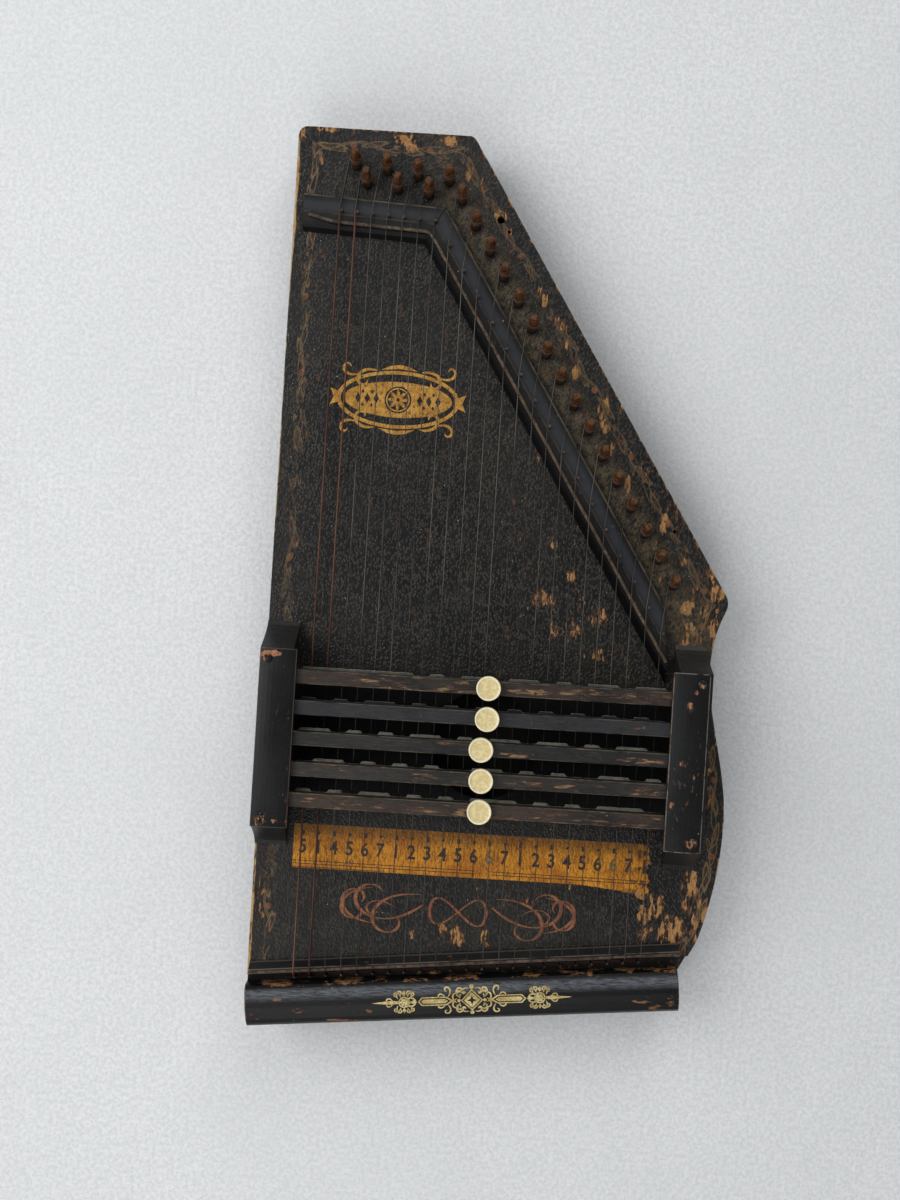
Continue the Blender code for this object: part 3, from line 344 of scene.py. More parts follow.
def outline_gaps(finish):
    """Distances from the bass, top, slanted and treble edges, in metres inward."""
    above = ((finish.y - WAIST) / SHOULDER_RUN).most(0.0)
    below = ((SWELL_LOW - finish.y) / TAIL_RUN).most(0.0)
    rise = finish.y.ramp(SWELL_LOW, WAIST)
    treble = rise * -WAIST_DEPTH + above * above * SHOULDER_DEPTH - below * below * TAIL_DEPTH + RIGHT
    return finish.x - LEFT, TOP - finish.y, slant_gap(finish), treble - finish.x


def rim(finish, gaps):
    """How much the lacquer is lost along the bass side, and along the other sides."""
    uneven = finish.noise(0.012, 5.0, 0.65, (1, 2, 1), 11.0)
    wide = finish.y.ramp(0.15, 0.21) * 0.0013 + finish.y.ramp(-0.12, -0.15) * 0.0013 + 0.0004
    broken = finish.noise(0.009, 5.0, 0.7, (1, 3, 1.5), 14.0).ramp(0.48, 0.54)
    ends = finish.y.ramp(0.12, 0.17).most(finish.y.ramp(-0.10, -0.13)) * 0.8
    bass = (gaps[0] - uneven * wide * 1.7).ramp(0.0003, -0.0003) * broken.most(ends)
    others = (reduce(Value.least, gaps[1:]) - uneven * 0.0016).ramp(0.0002, -0.0004)
    return bass, others * 0.55


def under_bars(finish):
    """1 under the chord bars, on the board and on the strings, where painted shade goes."""
    return abs(finish.y - BARS_Y).ramp(0.041, 0.031)


print("distances ready")

# %% [markdown]
# ## Soundboard
# The soundboard carries most of the instrument's looks: a vine along its rim, an ochre paper scale
# under the strings with lines and a crazed varnish, and flaked places that are laid here as ovals, each
# read off the photograph. Noise breaks the ovals up, so none of them shows as an oval.

# %% Flaked places of the soundboard
FLAKED = [
    (331, 128, 12, 3.5, 0.75), (405, 141, 9, 5, 0.70), (412, 148, 5, 4, 0.9), (452, 141, 9, 4, 0.85),
    (302, 135, 4, 8, 0.8), (318, 165, 5, 14, 0.42), (470, 172, 4, 9, 0.6), (501, 217, 5.0, 6.0, 1.05),
    (509, 233, 2.6, 5, 0.75), (536, 292, 5, 9, 0.45), (545, 300, 2.4, 6.0, 0.7), (563, 325, 3.0, 6.0, 0.7),
    (577, 372, 3.6, 6.0, 0.78), (568, 346, 2.6, 6, 0.6), (560, 350, 14, 50, 0.28), (604, 410, 5.0, 8.5, 0.80),
    (606, 426, 4.5, 6.0, 0.78), (613, 450, 2.4, 7.0, 0.72), (627, 487, 2.8, 9.0, 0.80),
    (660, 520, 3, 5, 0.55), (687, 608, 5.0, 6.0, 1.05), (689, 630, 5.0, 6.0, 0.92),
    (716, 594, 6.0, 6.5, 0.86), (683, 562, 2.8, 3.2, 0.8), (714, 628, 4.5, 8.0, 0.84),
    (664, 524, 4, 8, 0.78), (700, 600, 12, 14, 0.42),
    (640, 500, 8, 20, 0.30), (545, 600, 10, 9, 0.62), (597, 616, 9, 8, 0.56), (482, 625, 5, 4, 0.62),
    (554, 542, 3, 6, 0.66), (574, 632, 5, 9, 0.62), (554, 630, 4, 8, 0.62), (600, 655, 14, 5, 0.46),
    (572, 576, 5, 5, 0.52), (642, 893, 6, 5, 0.95), (644, 914, 6, 8, 0.92), (655, 903, 8, 12, 0.66),
    (671, 928, 10, 12, 0.74), (676, 935, 5, 8, 0.88), (690, 893, 7, 20, 0.74), (699, 915, 6, 14, 0.84),
    (700, 938, 6, 8, 0.84), (655, 935, 16, 8, 0.55), (440, 930, 5, 6, 0.75), (458, 936, 7, 8, 0.78),
    (486, 938, 5, 7, 0.72), (412, 934, 3, 4, 0.6), (516, 905, 18, 6, 0.32), (709, 772, 2.2, 3.2, 0.80),
    (712, 834, 2.6, 3.6, 0.80), (710, 800, 4, 12, 0.55), (268, 850, 5, 30, 0.42), (262, 900, 4, 26, 0.45),
    (690, 640, 9, 12, 0.58), (430, 292, 3, 3, 0.45),
]


def losses(finish, places, height=0.0):
    """The greatest loss of any of these ovals: pixel, half widths in millimetres and strength."""
    return reduce(Value.most, [finish.spot(from_photo(px, py, height), wide * MM, high * MM) * strength
                               for px, py, wide, high, strength in places])


def shade_round_pins(finish):
    """1 close to the foot of a tuning pin, where painted shade goes on the board."""
    feet = [joint["pos_m"] for joint in frame["joints"] if joint["name"].startswith("turn_pin")]
    return reduce(Value.least, [finish.distance(foot) for foot in feet]).ramp(0.0062, 0.0030)


print(len(FLAKED), "flaked places")

# %% [markdown]
# ## Vine
# Two waving stems and three kinds of leaves come back at even steps along the rim. Most of the
# paint has worn off, so a cloudy value says where it is kept.

# %% Vine along the rim
VINE_INSET = 0.0112
LONG_STEP, SHORT_STEP = 0.0410, 0.0273


def leaf(along, off, period, shift, long, wide, lift=0.0, tilt=0.0):
    """Distance from the middle of a leaf that comes back once in a period, 1 on its outline."""
    u = ((along / period + shift).math("FRACT") - 0.5) * period
    v = off - u * tilt - lift
    return ((u / long) * (u / long) + (v / wide) * (v / wide)).math("SQRT")


def vine(finish, gaps):
    """Lines of the stems and leaves along the nearest side, what fills the leaves, and the blossoms."""
    inset = reduce(Value.least, gaps)
    on_top = (gaps[1] - gaps[0].least(gaps[2])).ramp(0.0001, -0.0001)
    on_slant = (gaps[2] - gaps[1].least(gaps[3])).ramp(0.0001, -0.0001)
    slantwise = (finish.x - SLANT_START.x) * SLANT_ALONG.x + (finish.y - SLANT_START.y) * SLANT_ALONG.y
    along = finish.y + on_top * (finish.x - finish.y)
    along = along + on_slant * (slantwise - along)
    wander = finish.noise(0.016, 3.0, shift=4.0)
    swell = finish.x.ramp(0.085, 0.105) * finish.y.ramp(-0.02, -0.05)
    off = inset - VINE_INSET + wander * 0.0040 + swell * 0.0045
    first = (along * (2 * math.pi / LONG_STEP)).math("SINE") * 0.0021
    second = (along * (2 * math.pi / SHORT_STEP) + 1.0).math("SINE") * 0.0014
    leaves = (leaf(along, off, LONG_STEP, 0.10, 0.0072, 0.0016, 0.0008, 0.16),
              leaf(along, off, LONG_STEP, 0.55, 0.0062, 0.0014, -0.0010, -0.20),
              leaf(along, off, SHORT_STEP, 0.30, 0.0040, 0.0009, 0.0022, 0.30))
    blossom = leaf(along, off, LONG_STEP, 0.83, 0.0019, 0.0016)
    nearest = reduce(Value.least, leaves)
    lines = abs(off - first).least(abs(off - second)).ramp(0.00040, 0.00012)
    lines = lines.most(abs(nearest - 1.0).ramp(0.26, 0.08)) * (1.0 - on_slant * 0.35)
    kept = (finish.noise(0.018, 5.0, 0.65, shift=9.0) + finish.x.ramp(0.08, 0.11) * 0.08).ramp(0.38, 0.52)
    return lines * kept, nearest.ramp(1.0, 0.9) * kept, blossom.ramp(1.1, 0.8) * kept


print("vine at", 1000 * VINE_INSET, "mm from the edge")

# %% [markdown]
# ## Paper scale
# The scale is a strip of ochre paper with three printed lines. Its right end has torn off, and its
# upper edge is darkened with the painted shadow of the chord bars.

# %% Ochre scale under the strings
SCALE_LEFT, SCALE_RIGHT = -0.1048, 0.0887
SCALE_LOW, SCALE_HIGH = -0.1566, -0.1320
SCALE_LINES = ((0.0046, 0.2), (0.0030, 0.2), (0.0012, -0.0560))
LINE_BREAK_X = -0.0020


def scale_strip(finish):
    """Where the strip lies, and its colour."""
    ragged = finish.noise(0.004, 5.0, 0.65, shift=13.0)
    side = (finish.x + (ragged - 0.5) * 0.0004 - SCALE_LEFT).least(SCALE_HIGH - finish.y)
    low = finish.y + ragged * finish.x.ramp(0.045, SCALE_RIGHT) * 0.006 - SCALE_LOW - 0.0006
    end = SCALE_RIGHT - finish.x - ragged * 0.0120 + 0.0035
    there = side.least(low).least(end).ramp(0.0, 0.0003)
    streaks = finish.noise(0.0009, 4.0, 0.7, (1, 5, 1), 21.0)
    crazed = finish.cells(0.0022, "DISTANCE_TO_EDGE", (0.6, 1.6, 1), 23.0).ramp(0.07, 0.01)
    lines = reduce(Value.most, [
        abs(finish.y - (SCALE_LOW + offset)).ramp(0.00032, 0.00016) * finish.x.ramp(stop, stop - 0.001)
        for offset, stop in SCALE_LINES])
    unbroken = abs(finish.x - LINE_BREAK_X).ramp(0.0040, 0.0050)
    # Painted shadow of the chord bars along the strip's upper edge.
    painted_bar_shadow = (finish.y - SCALE_HIGH).ramp(-0.0105, -0.0015) * 0.62
    colour = finish.layers(
        finish.mix(finish.noise(0.014, 3.0, shift=22.0).ramp(0.35, 0.65), "ad690c", "cf8a1b"),
        (streaks.ramp(0.48, 0.64) * 0.72, "5f390d"),
        (crazed * 0.55, "4a2d10"),
        (lines * unbroken * 0.85, "2c1c0e"),
        (painted_bar_shadow, "3f2709"))
    worn_end = finish.x.ramp(0.062, 0.088) * ragged.ramp(0.48, 0.60)
    return there * (1.0 - worn_end * 0.9), colour


print("scale", round(1000 * (SCALE_RIGHT - SCALE_LEFT)), "mm long")

# %% [markdown]
# ## Coats of the soundboard
# Over the worn lacquer come flecks, the painted vine, dust around the pins, painted shade round their
# feet, the pale bare rim, painted shade under the chord bars, and the paper scale.

# %% Finish of the soundboard
SCRATCHED_PIXEL = (590, 560)
board = Finish("soundboard_lacquer")
gaps = outline_gaps(board)
bass_rim, other_rim = rim(board, gaps)
beside_pins = gaps[2].ramp(0.0420, 0.0320) * gaps[2].ramp(0.0100, 0.0240)
dusty_pins = beside_pins * board.x.ramp(LEFT + 0.06, LEFT + 0.09)
tired = (gaps[2] + board.y * 0.10 - 0.002).ramp(0.030, 0.0) * 0.20
gone = losses(board, FLAKED).most(bass_rim.most(other_rim) * 1.05).most(tired + dusty_pins * 0.08 + 0.08)
colour, roughness, height = aged_black(board, gone, glints=1.0)
lines, leaves, blossoms = vine(board, gaps)
leaf_tint = board.mix(board.noise(0.010, 2.0, shift=8.0).ramp(0.45, 0.55), "3b2119", "3b3220")
scratched = board.spot(from_photo(*SCRATCHED_PIXEL), 0.085, 0.105) + 0.18
scratched = scratched * board.noise(0.012, 4.0, shift=16.0).ramp(0.44, 0.58)
flecks = board.noise(0.0017, 5.0, 0.8, (1, 2.4, 1), 17.0).ramp(0.615, 0.650)
dust = board.noise(0.004, 6.0, 0.8, shift=10.0).ramp(0.38, 0.60)
bare = gaps[0].ramp(0.0014, 0.0004) * board.noise(0.003, 5.0, 0.7, (1, 4, 1), 15.0).ramp(0.36, 0.56)
# Painted shade on the board under the chord bars.
painted_bar_shade = under_bars(board) * board.x.ramp(RIGHT - 0.012, RIGHT - 0.020)
strip, strip_colour = scale_strip(board)
colour = board.layers(
    colour,
    (flecks * scratched.least(1.0) * 0.85, "82714b"),
    (leaves * 0.70, leaf_tint),
    (blossoms * 0.80, "70452a"),
    (lines * 0.66, "745d3e"),
    (dusty_pins * dust * 0.66, "5e5038"),
    # Painted shade round the feet of the tuning pins.
    (shade_round_pins(board) * 0.72, "0a0604"),
    (bass_rim * bare * 0.8, "bea678"),
    (painted_bar_shade * 0.95, "020202"),
    (strip, strip_colour))
roughness = roughness + strip * (0.42 - roughness) + painted_bar_shade * 0.5
dress(board.done(colour, roughness, height, 0.00028, Specular_IOR_Level=0.30), "soundboard")

# %% [markdown]
# ## The rest of the black body
# Frame, back and feet are hardly seen in the photograph. They are the same lacquer, rubbed along the
# edges. On the inside they are plain wood, painted near black for the shade inside the body, which
# shows only through the soundhole.

# %% Finish of the body's frame and back
back_low, back_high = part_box("back_board")
body = Finish("body_lacquer")
nearest = reduce(Value.least, outline_gaps(body))
edges = abs(body.z - back_low.z).least(abs(body.z - BOARD_TOP))
rubbed = body.noise(0.022, 5.0, 0.6, (1, 1, 3), 31.0).ramp(0.46, 0.70) * edges.ramp(0.0060, 0.0)
colour, roughness, height = aged_black(body, rubbed * 0.75 + 0.16, grain=(3, 3, 1))
# The inside faces are painted very dark as the shade inside the body; the wood grain stays.
inside = nearest.ramp(0.0016, 0.0026) * body.z.ramp(back_high.z - 0.0005, back_high.z - 0.0001)
inside = inside * body.z.ramp(board_low.z - 0.0003, board_low.z - 0.0007)
grain = body.noise(0.0016, 4.0, 0.6, (1, 14, 1), 33.0)
colour = body.mix(inside, colour, body.mix(grain.ramp(0.35, 0.65), "0b0806", "17110b"))
roughness = roughness + inside * (0.75 - roughness)
dress(body.done(colour, roughness, height, 0.0002, Specular_IOR_Level=0.30),
      "back_board", "pin_block", "tail_block", "bass_side", "treble_side", "cross_brace")

feet = Finish("foot_lacquer")
colour, roughness, height = aged_black(feet, feet.z.ramp(0.0018, 0.0) * 0.6 + 0.2)
dress(feet.done(colour, roughness, height, 0.0002, Specular_IOR_Level=0.30),
      "foot_top", "foot_tail_left", "foot_tail_right")

# %% [markdown]
# ## End rail
# The swelled rail over the tail block carries one long soft streak of painted sheen along its front
# part. It is turned five and a half degrees, and its wear follows its own length.

# %% Finish of the end rail
RAIL_ANGLE = math.radians(5.5)
RAIL_WIDTH = 0.0228
RAIL_START = Vector((LEFT, TAIL + RAIL_WIDTH * math.cos(RAIL_ANGLE)))
RAIL_ALONG = Vector((math.cos(RAIL_ANGLE), math.sin(RAIL_ANGLE)))
RAIL_ACROSS = Vector((RAIL_ALONG.y, -RAIL_ALONG.x))
RAIL_LENGTH = (RIGHT - 0.0211 - LEFT) / math.cos(RAIL_ANGLE)
RAIL_SCRAPES = [
    (275, 980, 14, 2.4, 0.85), (345, 977, 16, 2.0, 0.80), (280, 994, 4, 3, 0.66), (345, 1017, 13, 1.6, 0.75),
    (640, 997, 9, 1.4, 0.62), (655, 1004, 6, 3, 0.62), (668, 997, 4, 5, 0.55), (370, 1005, 3, 2.4, 0.7),
    (262, 1010, 3, 8, 0.35), (300, 1008, 8, 4, 0.35),
]
rail = Finish("end_rail_lacquer")
along, across = [(rail.x - RAIL_START.x) * way.x + (rail.y - RAIL_START.y) * way.y
                 for way in (RAIL_ALONG, RAIL_ACROSS)]
ends = along.least(RAIL_LENGTH - along)
front = across.ramp(0.0024, 0.0004) * rail.noise(0.012, 4.0, shift=41.0).ramp(0.44, 0.56)
back = (RAIL_WIDTH - across).ramp(0.0020, 0.0004) * rail.noise(0.02, 3.0, shift=42.0).ramp(0.52, 0.62)
scraped = losses(rail, RAIL_SCRAPES)
gone = scraped.most(front * 0.70).most(back * 0.5).most(ends.ramp(0.0012, 0.0) * 0.8).most(0.02)
colour, roughness, height = aged_black(rail, gone, grain=(2, 1, 1), darks=("050506", "0b0b0d"),
                                       woods=("5d4029", "8d6844"))
lip = abs(RAIL_WIDTH - across - 0.0007).ramp(0.0006, 0.0002)
lip = lip * rail.noise(0.008, 3.0, shift=43.0).ramp(0.36, 0.50)
# A streak of painted sheen along the front part of the rail, made grainy by fine noise.
rubbed = rail.noise(0.0007, 4.0, 0.75, (8, 1, 1), 44.0).ramp(0.30, 0.66)
bright = across.ramp(0.0012, 0.0036) * across.ramp(0.0094, 0.0054) * (rubbed * 0.92 + 0.08)
colour = rail.layers(colour, (lip * 0.65, "6f675c"), (bright * 0.88, "686b70"))
dress(rail.done(colour, roughness + 0.02, height, 0.00007, Specular_IOR_Level=0.20), "end_rail")

# %% [markdown]
# ## Bridges, rods and pins
# The upper bridge is a bent moulding, mitred where its two arms meet, and its arrises have rubbed to
# thin pale lines. The rods, guide pins and tuning pins are plain steel and have rusted brown.

# %% Finish of the bridges
BRIDGE_SHEEN, BRIDGE_OUTER, BRIDGE_STEP = -0.0022, -0.0076, 0.0014
BRIDGE_SHADE = (0.0060, 0.0070)
LOWER_RIDGE, LOWER_ARRISES = 0.60, (0.46, 0.75)
TOP_TILT = math.radians(2.5)
LOWER_SLOPE = math.tan(math.radians(5.95))


def bridge_depths(finish):
    """How far inside the short and the slanted line of guide pins a point lies."""
    across, up = finish.x - string_x(1), (TOP - GUIDES_FROM_TOP) - finish.y
    short = up * math.cos(TOP_TILT) - across * math.sin(TOP_TILT)
    return short, slant_gap(finish) - GUIDES_FROM_SLANT


bridge = Finish("bridge_lacquer")
short, slant = bridge_depths(bridge)
inward = short.least(slant)
outer = abs(inward - BRIDGE_OUTER).ramp(0.0007, 0.0002)
step = abs(inward - BRIDGE_STEP).ramp(0.0005, 0.0002)
uneven = bridge.noise(0.010, 4.0, shift=51.0).ramp(0.30, 0.60)
mitre = abs(short - slant).ramp(0.00060, 0.00030) * bridge.z.ramp(BOARD_TOP + 0.001, BOARD_TOP + 0.002)
colour, roughness, height = aged_black(bridge, 0.04, grain=(1, 1, 1), darks=("0b0b0c", "151617"))
# A band of painted sheen along the middle of the moulding, and painted shade, near black, on its inner face.
colour = bridge.layers(
    colour,
    (abs(inward - BRIDGE_SHEEN).ramp(0.0044, 0.0008) * 0.62, "323438"),
    (outer * uneven * 0.75, "786c5c"),
    (step * uneven * 0.5, "55493d"),
    (inward.ramp(*BRIDGE_SHADE), "040404"),
    (mitre, "070606"),
    (bridge.z.ramp(BOARD_TOP + 0.0059, BOARD_TOP + 0.0062), "33261f"))
dress(bridge.done(colour, roughness - 0.04, height - mitre, 0.00010, Specular_IOR_Level=0.34), "upper_bridge")

low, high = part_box("lower_bridge")
LOWER_WIDTH = high.y - low.y - (high.x - low.x) * LOWER_SLOPE
lower = Finish("lower_bridge_lacquer")
depth = lower.x * LOWER_SLOPE + (high.y - high.x * LOWER_SLOPE) - lower.y
streaks = lower.noise(0.010, 5.0, 0.7, (4, 1, 1), 52.0)
ridge = abs(depth - LOWER_WIDTH * LOWER_RIDGE).ramp(0.0012, 0.0008)
arris = abs(depth - LOWER_WIDTH * LOWER_ARRISES[0]).ramp(0.00035, 0.00012)
arris = arris.most(abs(depth - LOWER_WIDTH * LOWER_ARRISES[1]).ramp(0.0004, 0.00015))
colour, roughness, height = aged_black(lower, 0.03, grain=(4, 1, 1), darks=("070708", "121213"))
colour = lower.layers(
    colour,
    (ridge * streaks.ramp(0.40, 0.60), "3f352c"),
    (arris * streaks.ramp(0.36, 0.50) * 0.7, "7b7062"),
    (depth.ramp(0.0006, 0.0003) * 0.7, "4d463c"))
dress(lower.done(colour, roughness, height, 0.00012, Specular_IOR_Level=0.35), "lower_bridge")

# %% [markdown]
# ## Rust
# Rust has lighter and darker patches with fine pits. The tuning pins get painted shade towards the
# foot and a painted highlight, broken up by noise, on their tips.


# %% Rust
def rust(finish, darks, lights, shift, size=0.0022):
    """Steel gone brown, with darker pits: its colour, roughness and height."""
    patches = finish.noise(size, 5.0, 0.65, shift=shift)
    pits = finish.noise(size / 5, 3.0, 0.7, shift=shift + 1)
    colour = finish.mix(patches.ramp(0.36, 0.64), darks, lights)
    colour = finish.mix(pits.ramp(0.50, 0.70) * 0.6, colour, "1c0f0a")
    return colour, 0.62 + pits * 0.2, pits


def rusty(name, *tones, bright=0.0):
    """A rusty finish, with a few places rubbed bright."""
    finish = Finish(name)
    colour, roughness, pits = rust(finish, *tones)
    rubbed = finish.noise(0.003, 4.0, shift=60.0).ramp(0.52, 0.62) * bright
    colour = finish.mix(rubbed, colour, "857a6c")
    return finish.done(colour, roughness - rubbed * 0.2, pits, 0.00010, Specular_IOR_Level=0.35)


dress(rusty("rod_rust", "32261c", "584634", 61.0, 0.005, bright=0.30), "upper_bridge_rod")
dress(rusty("lower_rod_rust", "2c211b", "574536", 62.0, 0.006, bright=0.2), "lower_bridge_rod")
pin = Finish("pin_rust")
colour, roughness, pits = rust(pin, "281304", "603710", 63.0)
shade_low_on_pin = pin.z.ramp(BOARD_TOP + 0.0085, BOARD_TOP + 0.0005)
lit_tip = pin.z.ramp(BOARD_TOP + 0.0138, BOARD_TOP + 0.0160)
rubbed = pin.noise(0.0015, 3.0, shift=66.0).ramp(0.35, 0.55)
# Painted shade towards the foot of the pin, and a painted highlight on its tip.
colour = pin.layers(colour, (shade_low_on_pin * 0.85, "0f0704"), (lit_tip * rubbed * 0.6, "5e4026"))
pin_rust = pin.done(colour, roughness, pits, 0.00012, Specular_IOR_Level=0.30)
coil = Finish("coil_rust")
colour, roughness, pits = rust(coil, "2c1a10", "543827", 67.0, 0.0015)
coil_rust = coil.done(colour, roughness, pits, 0.00006, Specular_IOR_Level=0.45)
print("rusty steel ready")

# %% [markdown]
# ## Strings
# All strings are one piece of the model. The two lowest are wound with copper wire as far as the
# upper bridge, which shows red and finely ribbed, and the rest are plain steel, dulled brown.

# %% Finish of the strings
wire = Finish("string_steel")
among_wound = wire.x.ramp(WOUND_EDGE, WOUND_EDGE - 0.0005)
copper = among_wound * wire.y.ramp(TOP - 0.0450, TOP - 0.0470)
bare_end = among_wound * wire.y.ramp(TOP - 0.0470, TOP - 0.0450)
tarnish = wire.noise(0.020, 4.0, 0.6, (1, 4, 1), 71.0).ramp(0.38, 0.62)
colour = wire.layers(
    wire.mix(tarnish, "24211d", "463f38"),
    (bare_end * 0.7, "14110f"),
    (copper, wire.mix(tarnish, "3a2219", "61402f")),
    (wire.z.ramp(BOARD_TOP + 0.0010, BOARD_TOP - 0.0005), "2e150e"),
    # Painted shade on the strings under the chord bars.
    (under_bars(wire) * 0.90, "0f0c0a"))
ribs = (wire.y * (2 * math.pi / 0.0005)).math("SINE") * 0.5 + 0.5
dress(wire.done(colour, tarnish * -0.15 + 0.50, ribs * copper, 0.00010, Metallic=0.5), "string_set")

spring = Finish("spring_steel")
drawn = spring.noise(0.0012, 3.0, shift=72.0)
colour = spring.mix(drawn.ramp(0.4, 0.6), "8b8780", "aca79e")
dress(spring.done(colour, drawn * 0.2 + 0.25, drawn, 0.00004, Metallic=1.0),
      "spring_row_left", "spring_row_right")

# %% [markdown]
# ## Holders and covers
# Each end of the chord bars sits in a slotted block under a screwed cover. The covers are satin black
# with pale rubbed arrises. The bass one is chipped at both ends, and the treble one is scraped.

# %% Finish of the holders and covers
COVERS = {
    "left": ("46423d", 0.28, [(271, 653, 9, 2.2, 0.95), (263, 655, 5, 5, 0.75), (258, 820, 4, 5, 0.6),
                              (275, 822, 8, 1.6, 0.6)]),
    "right": ("7a726a", 0.36, [(691, 708, 3.0, 4.5, 0.80), (697, 693, 1.5, 2, 0.75), (691, 844, 5, 4, 0.62),
                               (703.7, 686, 2.6, 2.6, 0.62), (672, 806, 1.5, 3, 0.6),
                               (686, 775, 9, 12, 0.30)]),
}
for side, (tint, gloss, scrapes) in COVERS.items():
    cover = Finish(f"cover_lacquer_{side}")
    low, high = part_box(f"holder_cover_{side}")
    halves = [(high[i] - low[i]) / 2 - abs(value - (low[i] + high[i]) / 2)
              for i, value in enumerate((cover.x, cover.y))]
    above = cover.z.ramp(high.z - 0.0032, high.z - 0.0025)
    gone = losses(cover, scrapes, high.z - BOARD_TOP).most(0.02)
    colour, roughness, height = aged_black(cover, gone, grain=(1, 2, 1), darks=("060607", "0d0e0f"),
                                           woods=("7d4b31", "a87a54"), flake=0.003)
    worn_line = halves[0].least(halves[1]).ramp(0.00055, 0.00020) * above
    worn_line = worn_line * cover.noise(0.006, 4.0, shift=81.0).ramp(0.34, 0.52)
    inner_line = abs(cover.x - (low.x if side == "right" else high.x)).ramp(0.0006, 0.0002)
    inner_line = inner_line * cover.noise(0.006, shift=83.0).ramp(0.40, 0.60)
    colour = cover.layers(colour, (worn_line * 0.85, tint), (inner_line * 0.6, "4f342a"))
    dress(cover.done(colour, roughness - 0.02, height, 0.0001, Specular_IOR_Level=gloss),
          f"holder_cover_{side}")
    block = Finish(f"holder_lacquer_{side}")
    edge = edge_distance(block, *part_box(f"bar_holder_{side}"))
    rubbed = edge.ramp(0.0009, 0.0) * block.noise(0.008, 4.0, shift=82.0).ramp(0.45, 0.60)
    colour, roughness, height = aged_black(block, rubbed * 0.6 + 0.08, grain=(1, 1, 3),
                                           darks=("121212", "201e1d"))
    dress(block.done(colour, roughness, height, 0.0002, Specular_IOR_Level=0.35), f"bar_holder_{side}")

# %% [markdown]
# ## Chord bars
# The five bars were handled most. Each has its own wear in the photograph: the second is still grey
# black, the first and the last are rubbed to brown and ochre along their length.

# %% Finish of the chord bars
BARS = [
    (("15110f", "33261f"), 0.34, [
        (330, 688, 26, 2.4, 0.52), (405, 690, 36, 2.0, 0.60), (600, 695, 40, 2.4, 0.52),
        (455, 690, 14, 4, 0.60), (530, 692, 20, 3, 0.58), (360, 680, 14, 1.2, 0.8)]),
    (("191a1d", "252629"), 0.02, [(640, 729, 8, 1.6, 0.35)]),
    (("0f0f10", "1d1c1b"), 0.10, [
        (452, 744, 16, 1.2, 0.66), (420, 742, 30, 0.9, 0.5), (516, 754, 12, 2.4, 0.60),
        (640, 761, 18, 2, 0.56)]),
    (("151412", "2a2723"), 0.22, [
        (430, 777, 20, 2.4, 0.55), (540, 785, 30, 2.2, 0.52), (640, 793, 20, 2.4, 0.52),
        (340, 769, 30, 1.6, 0.42)]),
    (("171310", "382b22"), 0.32, [
        (308, 800, 9, 2, 0.72), (370, 806, 24, 2.2, 0.56), (425, 810, 18, 2.4, 0.60),
        (460, 812, 12, 3, 0.68), (520, 818, 24, 2.4, 0.66), (625, 826, 24, 2, 0.60)]),
]
for number, (darks, amount, scrapes) in enumerate(BARS, 1):
    bar = Finish(f"bar_{number}_stain")
    low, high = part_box(f"chord_bar_{number}")
    edge = edge_distance(bar, low, high)
    broken = bar.noise(0.006, 5.0, 0.7, (2, 1, 1), 90.0 + number).ramp(0.40, 0.56)
    rubbed = losses(bar, scrapes, high.z - BOARD_TOP)
    gone = rubbed.most(edge.ramp(0.0009, 0.0002) * broken * (amount + 0.30)).most(amount * 0.9)
    colour, roughness, height = aged_black(bar, gone, grain=(5, 1, 1), darks=darks, flake=0.0032,
                                           woods=("5e4530", "8c714e"), stains=("32231c", "573e30"))
    fibres = bar.noise(0.0006, 4.0, 0.75, (14, 1, 1), 95.0 + number)
    pale = edge.ramp(0.0006, 0.0002) * broken
    colour = bar.layers(colour, (fibres.ramp(0.50, 0.66) * 0.20, "5f574d"), (pale * 0.55, "7d7160"))
    dress(bar.done(colour, roughness + 0.10, height + fibres * 0.4, 0.00018, Specular_IOR_Level=0.35),
          f"chord_bar_{number}")
print(len(BARS), "bars stained")

# %% [markdown]
# ## Making pieces
# A new piece is added as a primitive where it belongs, shaped in edit mode and then settled: its
# place goes into its mesh, and it gets its name, its finish, and the body that it moves with.


# %% Settling a piece
def select_only(*pieces):
    """Selects these pieces and no others, with the first one active."""
    bpy.ops.object.select_all(action="DESELECT")
    for piece in pieces:
        piece.select_set(True)
    bpy.context.view_layer.objects.active = pieces[0]


def apply_place():
    """Puts the place, turn and scale of the selected piece in its mesh, and gives the piece."""
    bpy.ops.object.transform_apply(location=True, rotation=True, scale=True)
    return bpy.context.object


def settle(piece, name, material, body, replaces=()):
    """Puts the place of a piece in its mesh and says what it is."""
    select_only(piece)
    apply_place()
    piece.name = name
    piece.data.name = name
    piece.data.materials.clear()
    piece.data.materials.append(material)
    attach(piece, body)
    if replaces:
        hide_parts(*replaces)
    return piece


print("pieces can be settled")

# %% [markdown]
# ## Shaping a piece
# Operators work on what is selected, so faces are picked in code by where they point. Modifiers are
# applied at once, and what repeats is modelled once and copied, each copy with its own mesh.


# %% Shaping a piece
def select_faces(piece, wanted):
    """Selects the faces that pass a test, and goes into edit mode."""
    bpy.ops.object.mode_set(mode="OBJECT")
    bpy.context.tool_settings.mesh_select_mode = (False, False, True)
    for part in (piece.data.vertices, piece.data.edges, piece.data.polygons):
        for item in part:
            item.select = False
    for face in piece.data.polygons:
        face.select = bool(wanted(face))
    bpy.ops.object.mode_set(mode="EDIT")


def select_top(piece):
    select_faces(piece, lambda face: face.normal.z > 0.9)


def select_whole(piece):
    select_faces(piece, lambda face: True)


